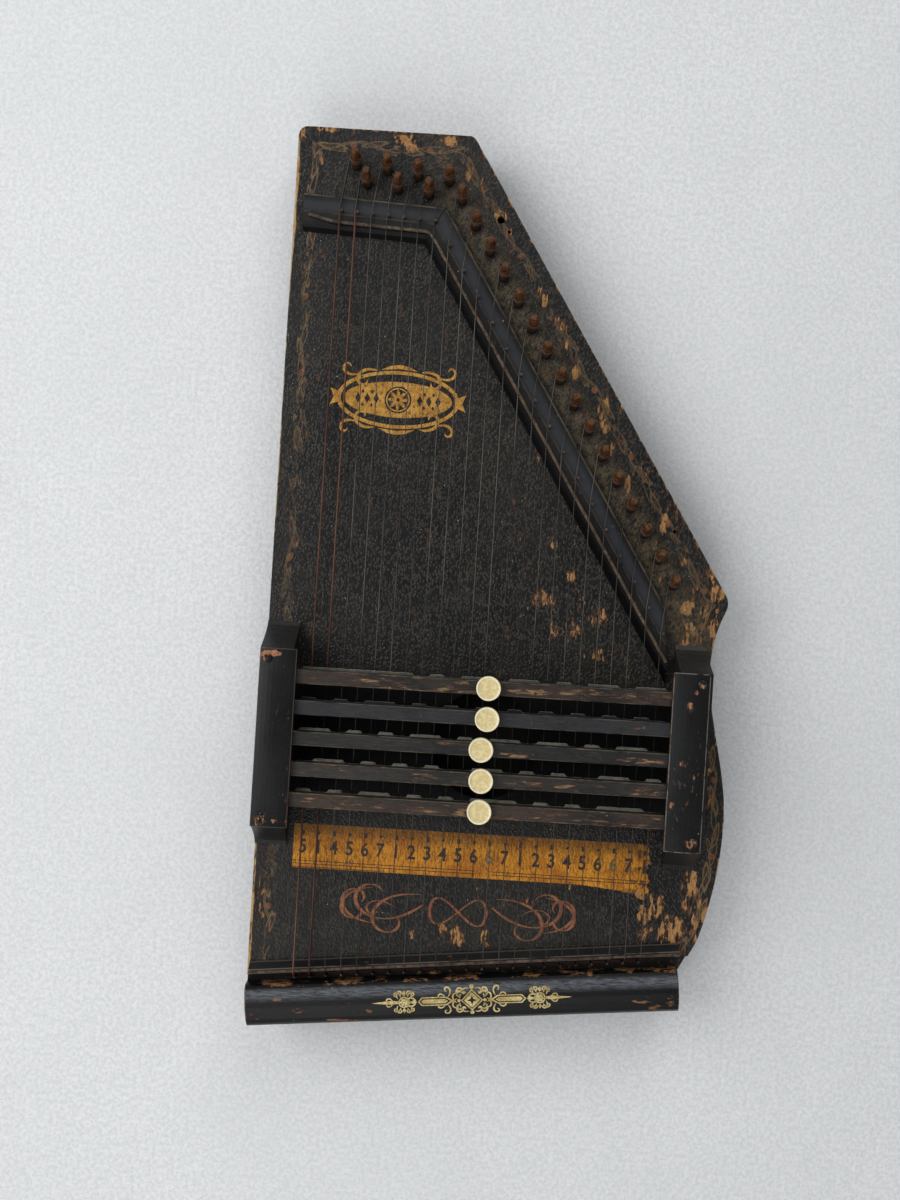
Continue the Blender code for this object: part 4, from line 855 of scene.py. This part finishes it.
def modify(piece, kind, **settings):
    """Adds a modifier with these settings and applies it."""
    bpy.context.view_layer.objects.active = piece
    modifier = piece.modifiers.new(kind.lower(), kind)
    for key, value in settings.items():
        setattr(modifier, key, value)
    bpy.ops.object.modifier_apply(modifier=modifier.name)


def bevel(piece, width, segments, sharper_than=None):
    """Rounds the arrises, all of them or those that turn by more than an angle."""
    bpy.ops.object.mode_set(mode="OBJECT")
    limit = {"limit_method": "ANGLE", "angle_limit": math.radians(sharper_than)} if sharper_than else {}
    modify(piece, "BEVEL", width=width, segments=segments, **limit)


def join(pieces):
    """Makes one piece of several."""
    select_only(*pieces)
    if len(pieces) > 1:
        bpy.ops.object.join()
    return bpy.context.object


def turned_copy(piece, matrix):
    """A copy with its own mesh, moved by a matrix."""
    made = linked(piece.name, piece.data.copy())
    made.data.transform(matrix)
    return made


print("pieces can be shaped")

# %% [markdown]
# ## Buttons
# A button is a turned disc with a raised rim. It starts as a cylinder of many sides: its top face is
# inset and sunk, and a bevel rounds the arrises so that they catch the light.

# %% Buttons
RIM_RADIUS, GRIME_DEPTHS = 0.00535, (0.0019, 0.0031)
buttons = []
for number in range(1, 6):
    low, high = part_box(f"bar_button_{number}")
    buttons.append((Vector(((low.x + high.x) / 2, (low.y + high.y) / 2, high.z)), (high.x - low.x) / 2))
ivory = Finish("aged_ivory")
tops = reduce(Value.least, [ivory.distance(top) for top, radius in buttons])
mottle = ivory.noise(0.0022, 4.0, 0.6, shift=101.0)
pores = ivory.noise(0.0005, 2.0, 0.7, shift=102.0)
middle = tops.ramp(RIM_RADIUS + 0.0001, RIM_RADIUS - 0.0003)
centre = ivory.mix(mottle.ramp(0.40, 0.62), "cfba85", "e0d09c")
centre = ivory.mix(pores.ramp(0.60, 0.75) * 0.5, centre, "a08a55")
side_grime = ivory.z.ramp(*[buttons[0][0].z - depth for depth in GRIME_DEPTHS])
colour = ivory.layers(
    ivory.mix(mottle.ramp(0.35, 0.65), "e3d7ae", "efe6c4"),
    (middle, centre),
    (side_grime * 0.5, "8a7440"))
ivory_skin = ivory.done(colour, middle * 0.15 + 0.34, pores, 0.00006, Subsurface_Weight=0.06,
                        Subsurface_Radius=(0.004, 0.003, 0.002))

for number, (top, radius) in enumerate(buttons, 1):
    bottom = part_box(f"chord_bar_{number}")[1].z + 0.0003
    bpy.ops.object.select_all(action="DESELECT")
    bpy.ops.mesh.primitive_cylinder_add(vertices=72, radius=radius, depth=top.z - bottom,
                                        location=(top.x, top.y, (bottom + top.z) / 2))
    button = bpy.context.object
    select_top(button)
    bpy.ops.mesh.inset(thickness=0.00085)
    bpy.ops.mesh.inset(thickness=0.00030, depth=-0.00045)
    bpy.ops.mesh.inset(thickness=0.0022)
    bevel(button, 0.00030, 3, sharper_than=50)
    settle(button, f"button_{number}", ivory_skin, f"bar_{number}", [f"bar_button_{number}"])
    bpy.ops.object.shade_smooth_by_angle(angle=math.radians(35))
print("5 buttons of", round(2000 * radius, 1), "mm")

# %% [markdown]
# ## Tuning pins
# A tuning pin is a round shaft whose head is filed square for the key. The shaft is a cylinder, the
# head a small tapered block joined to it. One pin is modelled on the z axis and copied onto the axis
# of each hinge, so every copy turns with its own body.

# %% Tuning pins
SHAFT_RADIUS, HEAD_WIDTH = 0.00245, 0.0042
FOOT, SHOULDER, TIP = -0.003, 0.0095, 0.0165
bpy.ops.object.select_all(action="DESELECT")
bpy.ops.mesh.primitive_cylinder_add(vertices=24, radius=SHAFT_RADIUS, depth=SHOULDER - FOOT,
                                    location=(0, 0, (SHOULDER + FOOT) / 2))
shaft = bpy.context.object
select_top(shaft)
bpy.ops.mesh.extrude_region_move(TRANSFORM_OT_translate={"value": (0, 0, 0.0010)})
bpy.ops.transform.resize(value=(0.90, 0.90, 1.0))
bevel(shaft, 0.00025, 2, sharper_than=30)
bpy.ops.object.select_all(action="DESELECT")
bpy.ops.mesh.primitive_cube_add(size=1.0, location=(0, 0, (SHOULDER + TIP) / 2),
                                scale=(HEAD_WIDTH, HEAD_WIDTH, TIP - SHOULDER))
head = apply_place()
select_top(head)
bpy.ops.transform.resize(value=(0.76, 0.76, 1.0))
bevel(head, 0.00055, 3)
pin_model = join([shaft, head])
apply_place()
bpy.ops.object.shade_smooth_by_angle(angle=math.radians(40))
print("pin model", len(pin_model.data.polygons), "faces")

# %% [markdown]
# ## String coils
# Each string ends in a few turns round its pin. A small ring is swept by a Screw modifier, clockwise
# and upward, from where the string meets the pin.

# %% String coils
COIL_START, COIL_TURNS, COIL_RISE = 0.0067, 3.6, 0.0029
COIL_RADII = {"plain": 0.00036, "wound": 0.00042}
NEXT_PIN_TURN = 0.7


def coil_model(radius):
    """A coil round the z axis that starts on the pin's bass side."""
    bpy.ops.object.select_all(action="DESELECT")
    bpy.ops.mesh.primitive_circle_add(vertices=6, radius=radius, rotation=(math.radians(90), 0, 0),
                                      location=(-SHAFT_RADIUS - radius - 0.00005, 0, COIL_START))
    made = apply_place()
    modify(made, "SCREW", angle=math.radians(-360 * COIL_TURNS), screw_offset=COIL_RISE, axis="Z",
           steps=56, render_steps=56, use_normal_calculate=True)
    select_whole(made)
    bpy.ops.mesh.normals_make_consistent(inside=False)
    bpy.ops.object.mode_set(mode="OBJECT")
    modify(made, "SOLIDIFY", thickness=0.00004)
    return made


coils = {kind: coil_model(radius) for kind, radius in COIL_RADII.items()}
hinges = {joint["child"]: joint for joint in frame["joints"] if joint["type"] == "hinge"}
for number in range(1, STRING_COUNT + 1):
    body_name = f"tuning_pin_{number:02d}"
    hinge = hinges[body_name]
    lean = Vector((0, 0, 1)).rotation_difference(Vector(hinge["axis"])).to_matrix().to_4x4()
    place = Matrix.Translation(Vector(hinge["pos_m"])) @ lean
    turned = turned_copy(pin_model, place @ Matrix.Rotation(NEXT_PIN_TURN * number, 4, "Z"))
    settle(turned, f"pin_{number:02d}", pin_rust, body_name, [body_name])
    wound = turned_copy(coils["wound" if number < 3 else "plain"], place)
    settle(wound, f"coil_{number:02d}", coil_rust, body_name)
for model in (pin_model, *coils.values()):
    bpy.data.objects.remove(model)
print(STRING_COUNT, "pins with coils")

# %% [markdown]
# ## Heads of the guide pins, and the brads
# The guide pins have small round heads, and the felts are held by brads through the bars. Both are
# flattened spheres, half sunk in what carries them.


# %% Small round heads
GUIDE_HEAD, GUIDE_FLATNESS = 0.00095, 0.75
GUIDE_SHIFT, GUIDE_TOP = 0.0012, 0.0092
BRAD_HEAD, BRAD_FLATNESS = 0.00085, 0.40


def dome(centre, radius, flat):
    """A flattened sphere with its middle at a place."""
    bpy.ops.object.select_all(action="DESELECT")
    bpy.ops.mesh.primitive_uv_sphere_add(segments=12, ring_count=8, radius=radius, location=centre,
                                         scale=(1, 1, flat))
    return apply_place()


def guide_place(number):
    """Where a guide pin stands: on the lower of the two lines."""
    x = string_x(number) + GUIDE_SHIFT
    short = TOP - GUIDES_FROM_TOP - (x - string_x(1)) * math.tan(TOP_TILT)
    slope = SLANT_ALONG.y / SLANT_ALONG.x
    slanted = SLANT_START.y + (x - SLANT_START.x) * slope - GUIDES_FROM_SLANT / SLANT_ALONG.x
    return Vector((x, min(short, slanted), BOARD_TOP + GUIDE_TOP))


guide_rust = rusty("guide_rust", "1b1512", "4a3d34", 64.0, 0.001, bright=0.2)
heads = join([dome(guide_place(number), GUIDE_HEAD, GUIDE_FLATNESS)
              for number in range(1, STRING_COUNT + 1)])
settle(heads, "guide_pin_heads", guide_rust, "body")

BRADS = {1: [(535.5, 693.5), (647, 698.6)], 2: [(531.8, 723.3), (644, 727.8)],
         3: [(532.9, 754.3), (640, 759.4)], 4: [(527.8, 782.9), (641, 790)], 5: [(526.7, 817.6)]}
brad_rust = rusty("brad_rust", "1f1b18", "4a4138", 65.0, 0.001, bright=0.3)
for number, places in BRADS.items():
    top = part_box(f"chord_bar_{number}")[1].z
    brads = [dome((*from_photo(px, py, top - BOARD_TOP), top), BRAD_HEAD, BRAD_FLATNESS)
             for px, py in places]
    settle(join(brads), f"brads_{number}", brad_rust, f"bar_{number}")
print("guide pin heads and", sum(len(places) for places in BRADS.values()), "brads")

# %% [markdown]
# ## Felts
# The model's felts are sharp-edged combs. Real felt has soft corners and a furry, slightly swollen
# skin, so each is remeshed from a copy of its shape, smoothed, and ruffled by a clouds texture.

# %% Felts
wool = Finish("damper_felt")
fibre = wool.noise(0.0006, 5.0, 0.75, (2, 1, 1), 111.0)
matted = wool.noise(0.0050, 3.0, shift=112.0)
# Painted shade on the felts of the first two bars.
felt_shade = wool.y.ramp(-0.0800, -0.0640) - wool.y.ramp(-0.0600, -0.0540) * 0.35
colour = wool.layers(
    wool.mix(matted.ramp(0.36, 0.64), "5a5a4d", "7b7b6b"),
    (fibre.ramp(0.50, 0.72) * 0.50, "88856f"),
    (fibre.ramp(0.48, 0.30) * 0.55, "2f2e27"),
    (felt_shade * 0.95, "0f0e0b"))
felt_skin = wool.done(colour, 0.95, fibre, 0.00035, Sheen_Weight=0.35, Sheen_Roughness=0.5)
clouds = bpy.data.textures.new("felt_clouds", "CLOUDS")
clouds.noise_scale = 0.0016
for number in range(1, 6):
    name = f"damper_felt_{number}"
    felt = linked(f"felt_{number}", nodes[name].data.copy())
    select_only(felt)
    select_whole(felt)
    bpy.ops.mesh.remove_doubles(threshold=0.00001)
    bpy.ops.object.mode_set(mode="OBJECT")
    modify(felt, "REMESH", mode="VOXEL", voxel_size=0.00055)
    modify(felt, "SMOOTH", factor=0.6, iterations=2)
    modify(felt, "DISPLACE", texture=clouds, strength=0.00030, mid_level=0.5, texture_coords="LOCAL")
    settle(felt, f"felt_{number}", felt_skin, f"bar_{number}", [name])
    bpy.ops.object.shade_smooth()
print("felts of", len(felt.data.polygons), "faces each")

# %% [markdown]
# ## Transfers
# The ornaments are thin gold transfers. Each is drawn in millimetres as closed flat outlines, which
# Blender fills as a two-dimensional curve, and is then laid on its surface a few hundredths of a
# millimetre up. The motifs are plain traditional ones: diamonds, rosettes, scrolls and spear points.


# %% Drawing flat shapes
def oval(wide, high, centre=(0, 0), count=36):
    """An ellipse by its half widths."""
    turns = [2 * math.pi * i / count for i in range(count)]
    return [(centre[0] + wide * math.cos(a), centre[1] + high * math.sin(a)) for a in turns]


def disc(radius, centre=(0, 0), count=36):
    return oval(radius, radius, centre, count)


def diamond(wide, high, centre=(0, 0)):
    u, v = centre
    return [(u + wide, v), (u, v + high), (u - wide, v), (u, v - high)]


def stroke(points, widest):
    """A pen stroke that swells in the middle and tapers to its ends."""
    line = [Vector(point) for point in points]
    left, right = [], []
    for i, point in enumerate(line):
        ahead = (line[min(i + 1, len(line) - 1)] - line[max(i - 1, 0)]).normalized()
        side = Vector((-ahead.y, ahead.x))
        half = widest * (0.12 + 0.88 * math.sqrt(abs(math.sin(math.pi * i / (len(line) - 1))))) / 2
        left.append(point + side * half)
        right.append(point - side * half)
    return [tuple(p) for p in left + right[::-1]]


def spiral(start, heading, length, curl, count):
    """A line whose bend grows along it."""
    x, y = start
    points = [(x, y)]
    for i in range(count):
        heading += curl * (0.25 + 1.9 * (i / count) ** 1.6) / count
        x += math.cos(heading) * length / count
        y += math.sin(heading) * length / count
        points.append((x, y))
    return points


def scroll(start, heading, length, curl, widest):
    """A stroke that ends in a spiral."""
    return stroke(spiral(start, heading, length, curl, 26), widest)


def mirrored(shape, across=True, down=False):
    return [(-u if across else u, -v if down else v) for u, v in shape]


print("outlines ready, a disc has", len(disc(1)), "points")

# %% [markdown]
# ## Filling outlines
# Blender fills a two-dimensional curve between its outlines, so that an outline inside another
# makes a hole. Each filled shape lies a hair above the last, and all become one mesh. The gold paint
# is uneven, with fine cracks and small losses that show the black.


# %% Filled shapes and gold
def as_mesh(pieces):
    """Turns curves into one mesh."""
    select_only(*pieces)
    bpy.ops.object.convert(target="MESH")
    return join(pieces)


LAYER = 0.000002


def lay_flat(name, shapes):
    """Fills shapes, each a list of closed outlines, lays each a hair above the last and joins them."""
    made = []
    for outlines in shapes:
        curve = bpy.data.curves.new(name, "CURVE")
        curve.dimensions = "2D"
        curve.fill_mode = "BOTH"
        for outline in outlines:
            spline = curve.splines.new("POLY")
            spline.points.add(len(outline) - 1)
            for point, (u, v) in zip(spline.points, outline):
                point.co = (u * MM, v * MM, 0, 1)
            spline.use_cyclic_u = True
        flat = linked(name, curve)
        flat.location.z = len(made) * LAYER
        made.append(flat)
    return as_mesh(made)


def gold(name, lights, shift, fade):
    """An old transfer in these two lights, of which a share has faded."""
    finish = Finish(name)
    cloud = finish.noise(0.006, 3.0, shift=shift)
    cracks = finish.cells(0.0014, "DISTANCE_TO_EDGE", shift=shift).ramp(0.06, 0.01)
    speck = finish.noise(0.0010, 4.0, 0.7, (1, 2, 1), shift + 2)
    colour = finish.mix(cloud.ramp(0.38, 0.62), *lights)
    colour = finish.mix(cracks * 0.5 + speck.ramp(0.50, 0.66) * fade, colour, "2b2018")
    return finish.done(colour, 0.45 + speck * 0.2, speck, 0.00003, Metallic=0.15)


print("drawing tools ready")

# %% [markdown]
# ## Ornament of the end rail
# A starred diamond in the middle, with a long bar, a rosette and a spear point to each side, all
# joined by scrolls. It is cut at the rail's stations, so that it bends with the rail's top.

# %% Ornament on the end rail
RAIL_STEPS = 10
RAIL_STATIONS = [RAIL_WIDTH * (1 - math.cos(math.pi * i / RAIL_STEPS)) / 2 for i in range(RAIL_STEPS + 1)]


def rail_height(across):
    """Height of the rail's top, straight between its stations as on the model."""
    crown, front, back, peak = 0.38 * RAIL_WIDTH, 0.0045, 0.0015, 0.0093
    levels = []
    for station in RAIL_STATIONS:
        edge, run = (front, crown) if station < crown else (back, RAIL_WIDTH - crown)
        share = abs(station - crown) / run
        levels.append(edge + (peak - edge) * math.sqrt(max(0.0, 1 - share * share)))
    for i in range(RAIL_STEPS):
        if across <= RAIL_STATIONS[i + 1]:
            share = (across - RAIL_STATIONS[i]) / (RAIL_STATIONS[i + 1] - RAIL_STATIONS[i])
            return BOARD_TOP + levels[i] + (levels[i + 1] - levels[i]) * max(0.0, share)
    return BOARD_TOP + levels[-1]


RAIL_ORNAMENT_PIXEL, RAIL_PEAK = (472, 1000), 0.0092
ROSETTE = 36.0
RAIL_SCROLLS = [
    ((29.6, 0.5), 1.0, 9.0, -6.3, 0.9), ((32.8, 1.8), 2.2, 8.0, -6.0, 0.9),
    ((34.2, 2.8), 1.75, 7.5, 6.2, 0.8), ((37.8, 2.8), 1.40, 7.5, -6.2, 0.8),
    ((39.2, 1.8), 0.95, 8.0, 6.0, 0.9), ((42.0, 0.8), 1.05, 6.5, -6.0, 0.7),
    ((12.6, 2.3), 2.30, 9.5, -6.0, 0.9), ((14.4, 2.4), 1.00, 7.0, -6.4, 0.8),
    ((6.0, 1.4), 0.55, 10.5, 6.4, 1.0), ((3.4, 3.6), 0.85, 9.5, -6.8, 0.9),
    ((1.6, 6.2), 0.35, 8.0, -6.2, 0.8), ((8.0, -1.2), 0.62, 7.5, 3.2, 0.9),
]
half = [
    [[(9.6, 0.0), (13.4, 2.35), (26.6, 2.35), (28.8, 0.0), (26.6, -2.35), (13.4, -2.35)],
     [(13.9, 1.75), (26.2, 1.75), (27.8, 0.0), (26.2, -1.75), (13.9, -1.75), (11.4, 0.0)]],
    [[(14.2, 1.15), (25.8, 1.15), (26.9, 0.0), (25.8, -1.15), (14.2, -1.15), (12.6, 0.0)]],
    [disc(3.0, (ROSETTE, 0)), disc(2.3, (ROSETTE, 0))],
]
for k in range(6):
    turn = k * math.pi / 3
    half.append([disc(0.75, (ROSETTE + 1.4 * math.cos(turn), 1.4 * math.sin(turn)), 14)])
half.append([disc(0.6, (ROSETTE, 0), 14)])
half.append([[(39.2, 0.7), (43.0, 1.1), (53.2, 0.0), (43.0, -1.1), (39.2, -0.7)]])
half.append([diamond(1.8, 1.2, (30.8, 0))])
half += [[diamond(1.0, 1.5, (ROSETTE, 4.6 * s))] for s in (1, -1)]
for flip in (False, True):
    half += [[mirrored(scroll(*line), across=False, down=flip)] for line in RAIL_SCROLLS]
whole = half + [[mirrored(outline) for outline in outlines] for outlines in half]
star = [(2.9, 0), (0.7, 0.7), (0, 2.9), (-0.7, 0.7), (-2.9, 0), (-0.7, -0.7), (0, -2.9), (0.7, -0.7)]
whole.append([diamond(5.9, 5.9), diamond(5.0, 5.0)])
whole.append([diamond(4.3, 4.3), star])
whole += [[disc(1.15, (0, 7.0 * s), 18)] for s in (1, -1)]
whole += [[disc(0.9, (6.9 * s, 0), 18)] for s in (1, -1)]
ornament = lay_flat("rail_ornament", whole)
select_whole(ornament)
centre = from_photo(*RAIL_ORNAMENT_PIXEL, RAIL_PEAK) - RAIL_START
centre_along, centre_across = centre.dot(RAIL_ALONG), centre.dot(RAIL_ACROSS)
for station in RAIL_STATIONS:
    bpy.ops.mesh.select_all(action="SELECT")
    bpy.ops.mesh.bisect(plane_co=(0, centre_across - station, 0), plane_no=(0, 1, 0))
bpy.ops.object.mode_set(mode="OBJECT")
for vertex in ornament.data.vertices:
    across = centre_across - vertex.co.y
    place = RAIL_START + RAIL_ALONG * (centre_along + vertex.co.x) + RAIL_ACROSS * across
    vertex.co = (place.x, place.y, rail_height(across) + 0.00007)
pale_gold = gold("pale_gold_transfer", ("b39b5c", "d9c58a"), 121.0, 0.35)
settle(ornament, "rail_ornament", pale_gold, "body")
print("rail ornament", len(ornament.data.polygons), "faces")

# %% [markdown]
# ## Ornament of the soundboard
# An oval plate pierced with diamonds carries a rosette of eight petals, in a ring with points to the
# left and right and leaves and scrolls above and below.

# %% Ornament on the soundboard
BOARD_ORNAMENT_PIXEL = (398, 400)
plate = [oval(29.0, 9.6, count=72)]
plate += [diamond(1.5, 2.9, (u, 0)) for u in (-21.5, -16.6, -11.7, 11.7, 16.6, 21.5)]
plate += [diamond(0.8, 1.2, (u, s * 3.6)) for u in (-19.0, -14.1, 14.1, 19.0) for s in (1, -1)]
plate += [disc(7.2, count=40)]
ring = [oval(33, 15.5, count=72), oval(30.8, 13.6, count=72)]
shapes = [ring, plate, [disc(6.4, count=40), disc(5.7, count=40)]]
for k in range(8):
    cosine, sine = math.cos(k * math.pi / 4), math.sin(k * math.pi / 4)
    petal = oval(2.3, 0.95, (3.1, 0), 14)
    shapes.append([[(u * cosine - v * sine, u * sine + v * cosine) for u, v in petal]])
point = [(31.0, 2.2), (36.5, 4.6), (34.6, 0.0), (36.5, -4.6), (31.0, -2.2), (32.6, 0)]
shapes += [[point], [mirrored(point)]]
for s in (1, -1):
    shapes.append([[(-10.0, s * 15.6), (-5.0, s * 18.0), (0, s * 18.8), (5.0, s * 18.0), (10.0, s * 15.6),
                    (0, s * 16.6)]])
    for sign in (1, -1):
        above, below = (0.25, -0.35) if sign > 0 else (math.pi - 0.25, math.pi + 0.35)
        shapes.append([scroll((12.0 * sign, 15.2 * s), above * s, 22.0, -5.4 * s * sign, 1.7)])
        shapes.append([scroll((22.0 * sign, 12.8 * s), below * s, 16.0, 5.2 * s * sign, 1.5)])
ornament = lay_flat("board_ornament", shapes)
ornament.location = (*from_photo(*BOARD_ORNAMENT_PIXEL), BOARD_TOP + 0.00006)
mustard = gold("mustard_transfer", ("a8741c", "c4923a"), 123.0, 0.75)
settle(ornament, "board_ornament", mustard, "body")
print("board ornament", len(ornament.data.polygons), "faces")

# %% [markdown]
# ## Flourish
# A line of penwork below the scale: a figure of eight between mirrored spirals. A broad pen draws
# thick lines where it moves up or down and thin ones where it moves across.

# %% Flourish below the scale
FLOURISH_PIXEL, WIDER = (458, 912), 1.17
PEN_LINES = [
    ((15.5, 3.5), -0.80, 58.0, 5.2, 2.6), ((17.0, 8.0), 0.10, 52.0, -5.6, 2.4),
    ((40.0, 10.5), -0.10, 38.0, -5.9, 2.1), ((38.0, -8.6), 0.05, 40.0, 5.6, 2.2),
    ((30.0, 1.0), 0.65, 22.0, -5.2, 1.5),
]
copper_paint = gold("copper_transfer", ("6f4027", "8f5a38"), 125.0, 0.75)
round_about = [2 * math.pi * i / 72 for i in range(73)]
lines = [([(13.0 * math.sin(a), 7.0 * math.sin(2 * a)) for a in round_about], 1.9)]
for *bend, wide in PEN_LINES:
    line = spiral(*bend, 44)
    lines += [(line, wide), (mirrored(line), wide)]
made = []
for line, wide in lines:
    curve = bpy.data.curves.new("flourish", "CURVE")
    curve.dimensions = "3D"
    curve.bevel_depth = wide * MM / 2
    curve.bevel_resolution = 1
    spline = curve.splines.new("POLY")
    spline.points.add(len(line) - 1)
    last = len(line) - 1
    for i, (point, (u, v)) in enumerate(zip(spline.points, line)):
        point.co = (u * MM * WIDER, v * MM, 0, 1)
        before, after = line[max(i - 1, 0)], line[min(i + 1, last)]
        steep = abs(after[1] - before[1]) / math.dist(before, after)
        point.radius = (0.25 + 0.75 * steep) * min(1, 0.3 + min(i, last - i) / 9)
    drawn = linked("flourish", curve)
    drawn.scale.z = 0.03 + 0.004 * len(made)
    made.append(drawn)
flourish = as_mesh(made)
apply_place()
flourish.location = (*from_photo(*FLOURISH_PIXEL), BOARD_TOP + 0.00004)
settle(flourish, "flourish", copper_paint, "body")
print("flourish", len(flourish.data.polygons), "faces, width", round(1000 * flourish.dimensions.x), "mm")

# %% [markdown]
# ## Numbers of the scale
# Plain numbers under the strings say which degree of the scale each string sounds. They are text
# objects made into flat meshes and joined.

# %% Numbers of the scale
DEGREES = "51456712345667123456671"
FADED_DEGREES = (13, 21)
DIGIT_HEIGHT, DIGIT_CENTRE, DIGIT_NARROWNESS = 0.0076, -0.1441, 0.86
TICK_CENTRE, TICK_WIDTH, TICK_LONG, TICK_SHORT = -0.1368, 0.0016, 0.0026, 0.0014
inks = {}
for shade, name, low, tones, shift in (("dark", "scale_ink", 0.55, ("1f130b", "7a5019"), 131.0),
                                       ("grey", "scale_ink_grey", 0.45, ("5c4a2c", "8a6a2c"), 132.0)):
    ink = Finish(name)
    faded = ink.noise(0.0012, 4.0, 0.65, shift=shift).ramp(low, low + 0.20)
    inks[shade] = ink.done(ink.mix(faded * 0.7, *tones), 0.5, faded, 0.00002)
written = {"dark": [], "grey": []}
for number, digit in enumerate(DEGREES, 1):
    bpy.ops.object.select_all(action="DESELECT")
    bpy.ops.object.text_add(location=(0, 0, 0))
    text = bpy.context.object.data
    text.body, text.size, text.offset = digit, 0.01, 0.00022
    bpy.ops.object.convert(target="MESH")
    made = bpy.context.object
    points = [vertex.co for vertex in made.data.vertices]
    low, high = min(p.y for p in points), max(p.y for p in points)
    middle = (min(p.x for p in points) + max(p.x for p in points)) / 2
    tall = DIGIT_HEIGHT / (high - low)
    fit = Matrix.Diagonal((tall * DIGIT_NARROWNESS, tall, 1, 1))
    fit = fit @ Matrix.Translation((-middle, -(low + high) / 2, 0))
    place = Vector((string_x(number) + 0.0002, DIGIT_CENTRE, BOARD_TOP + 0.00005))
    made.data.transform(Matrix.Translation(place) @ fit)
    written["grey" if number in FADED_DEGREES else "dark"].append(made)
    bpy.ops.object.select_all(action="DESELECT")
    bpy.ops.mesh.primitive_plane_add(size=1.0, location=(place.x, TICK_CENTRE, place.z))
    tick = bpy.context.object
    tick.scale = (TICK_WIDTH, TICK_LONG if number % 2 else TICK_SHORT, 1)
    tick.rotation_euler = (0, 0, 0 if number % 2 else math.radians(45))
    written["dark"].append(apply_place())
settle(join(written["dark"]), "scale_numbers", inks["dark"], "body")
settle(join(written["grey"]), "scale_numbers_grey", inks["grey"], "body")
print(len(DEGREES), "numbers")

# %% [markdown]
# ## Floor
# The photograph was taken on white fleece. The floor is a plain pale sheet with a faint nap, which
# is a cloudy noise in its colour and a low bump.

# %% Floor
bpy.ops.object.select_all(action="DESELECT")
bpy.ops.mesh.primitive_plane_add(size=6.0, location=(0, 0, 0))
floor = bpy.context.object
floor.name = "floor"
fleece = Finish("pale_fleece")
nap = fleece.noise(0.0022, 5.0, 0.7, shift=141.0)
soft = fleece.noise(0.16, 3.0, 0.5, shift=142.0)
colour = fleece.mix(nap.ramp(0.35, 0.65), "d3d5d6", "e6e7e8")
colour = fleece.mix(soft.ramp(0.35, 0.65) * 0.25, colour, "d2d4d5")
floor.data.materials.append(fleece.done(colour, 0.95, nap * 0.4 + soft * 6.0, 0.0012))
print("floor", round(floor.dimensions.x), "m wide at z = 0")

# %% [markdown]
# ## Light
# The photograph has soft daylight. Three large round lamps and a pale sky give a soft light without
# hard shadows, and the strongest of them stands to the left.


# %% Lamps and sky
def lamp(name, place, size, power):
    """A round lamp that points at the middle of the floor."""
    light = bpy.data.lights.new(name, "AREA")
    light.shape = "DISK"
    light.size = size
    light.energy = power
    made = linked(name, light)
    made.location = place
    made.rotation_euler = (-Vector(place)).to_track_quat("-Z", "Y").to_euler()


lamp("window", (-1.2, 0.35, 1.15), 1.5, 17.5)
lamp("far_window", (0.35, 1.3, 1.15), 1.2, 8.0)
lamp("fill", (-0.3, -1.25, 1.2), 1.5, 11.0)
world = bpy.data.worlds.new("sky")
world.use_nodes = True
sky = world.node_tree.nodes["Background"]
sky.inputs["Color"].default_value = (0.93, 0.96, 1.0, 1.0)
sky.inputs["Strength"].default_value = 0.28
bpy.context.scene.world = world
bpy.context.scene.view_settings.view_transform = "Standard"
print("3 lamps and a sky")
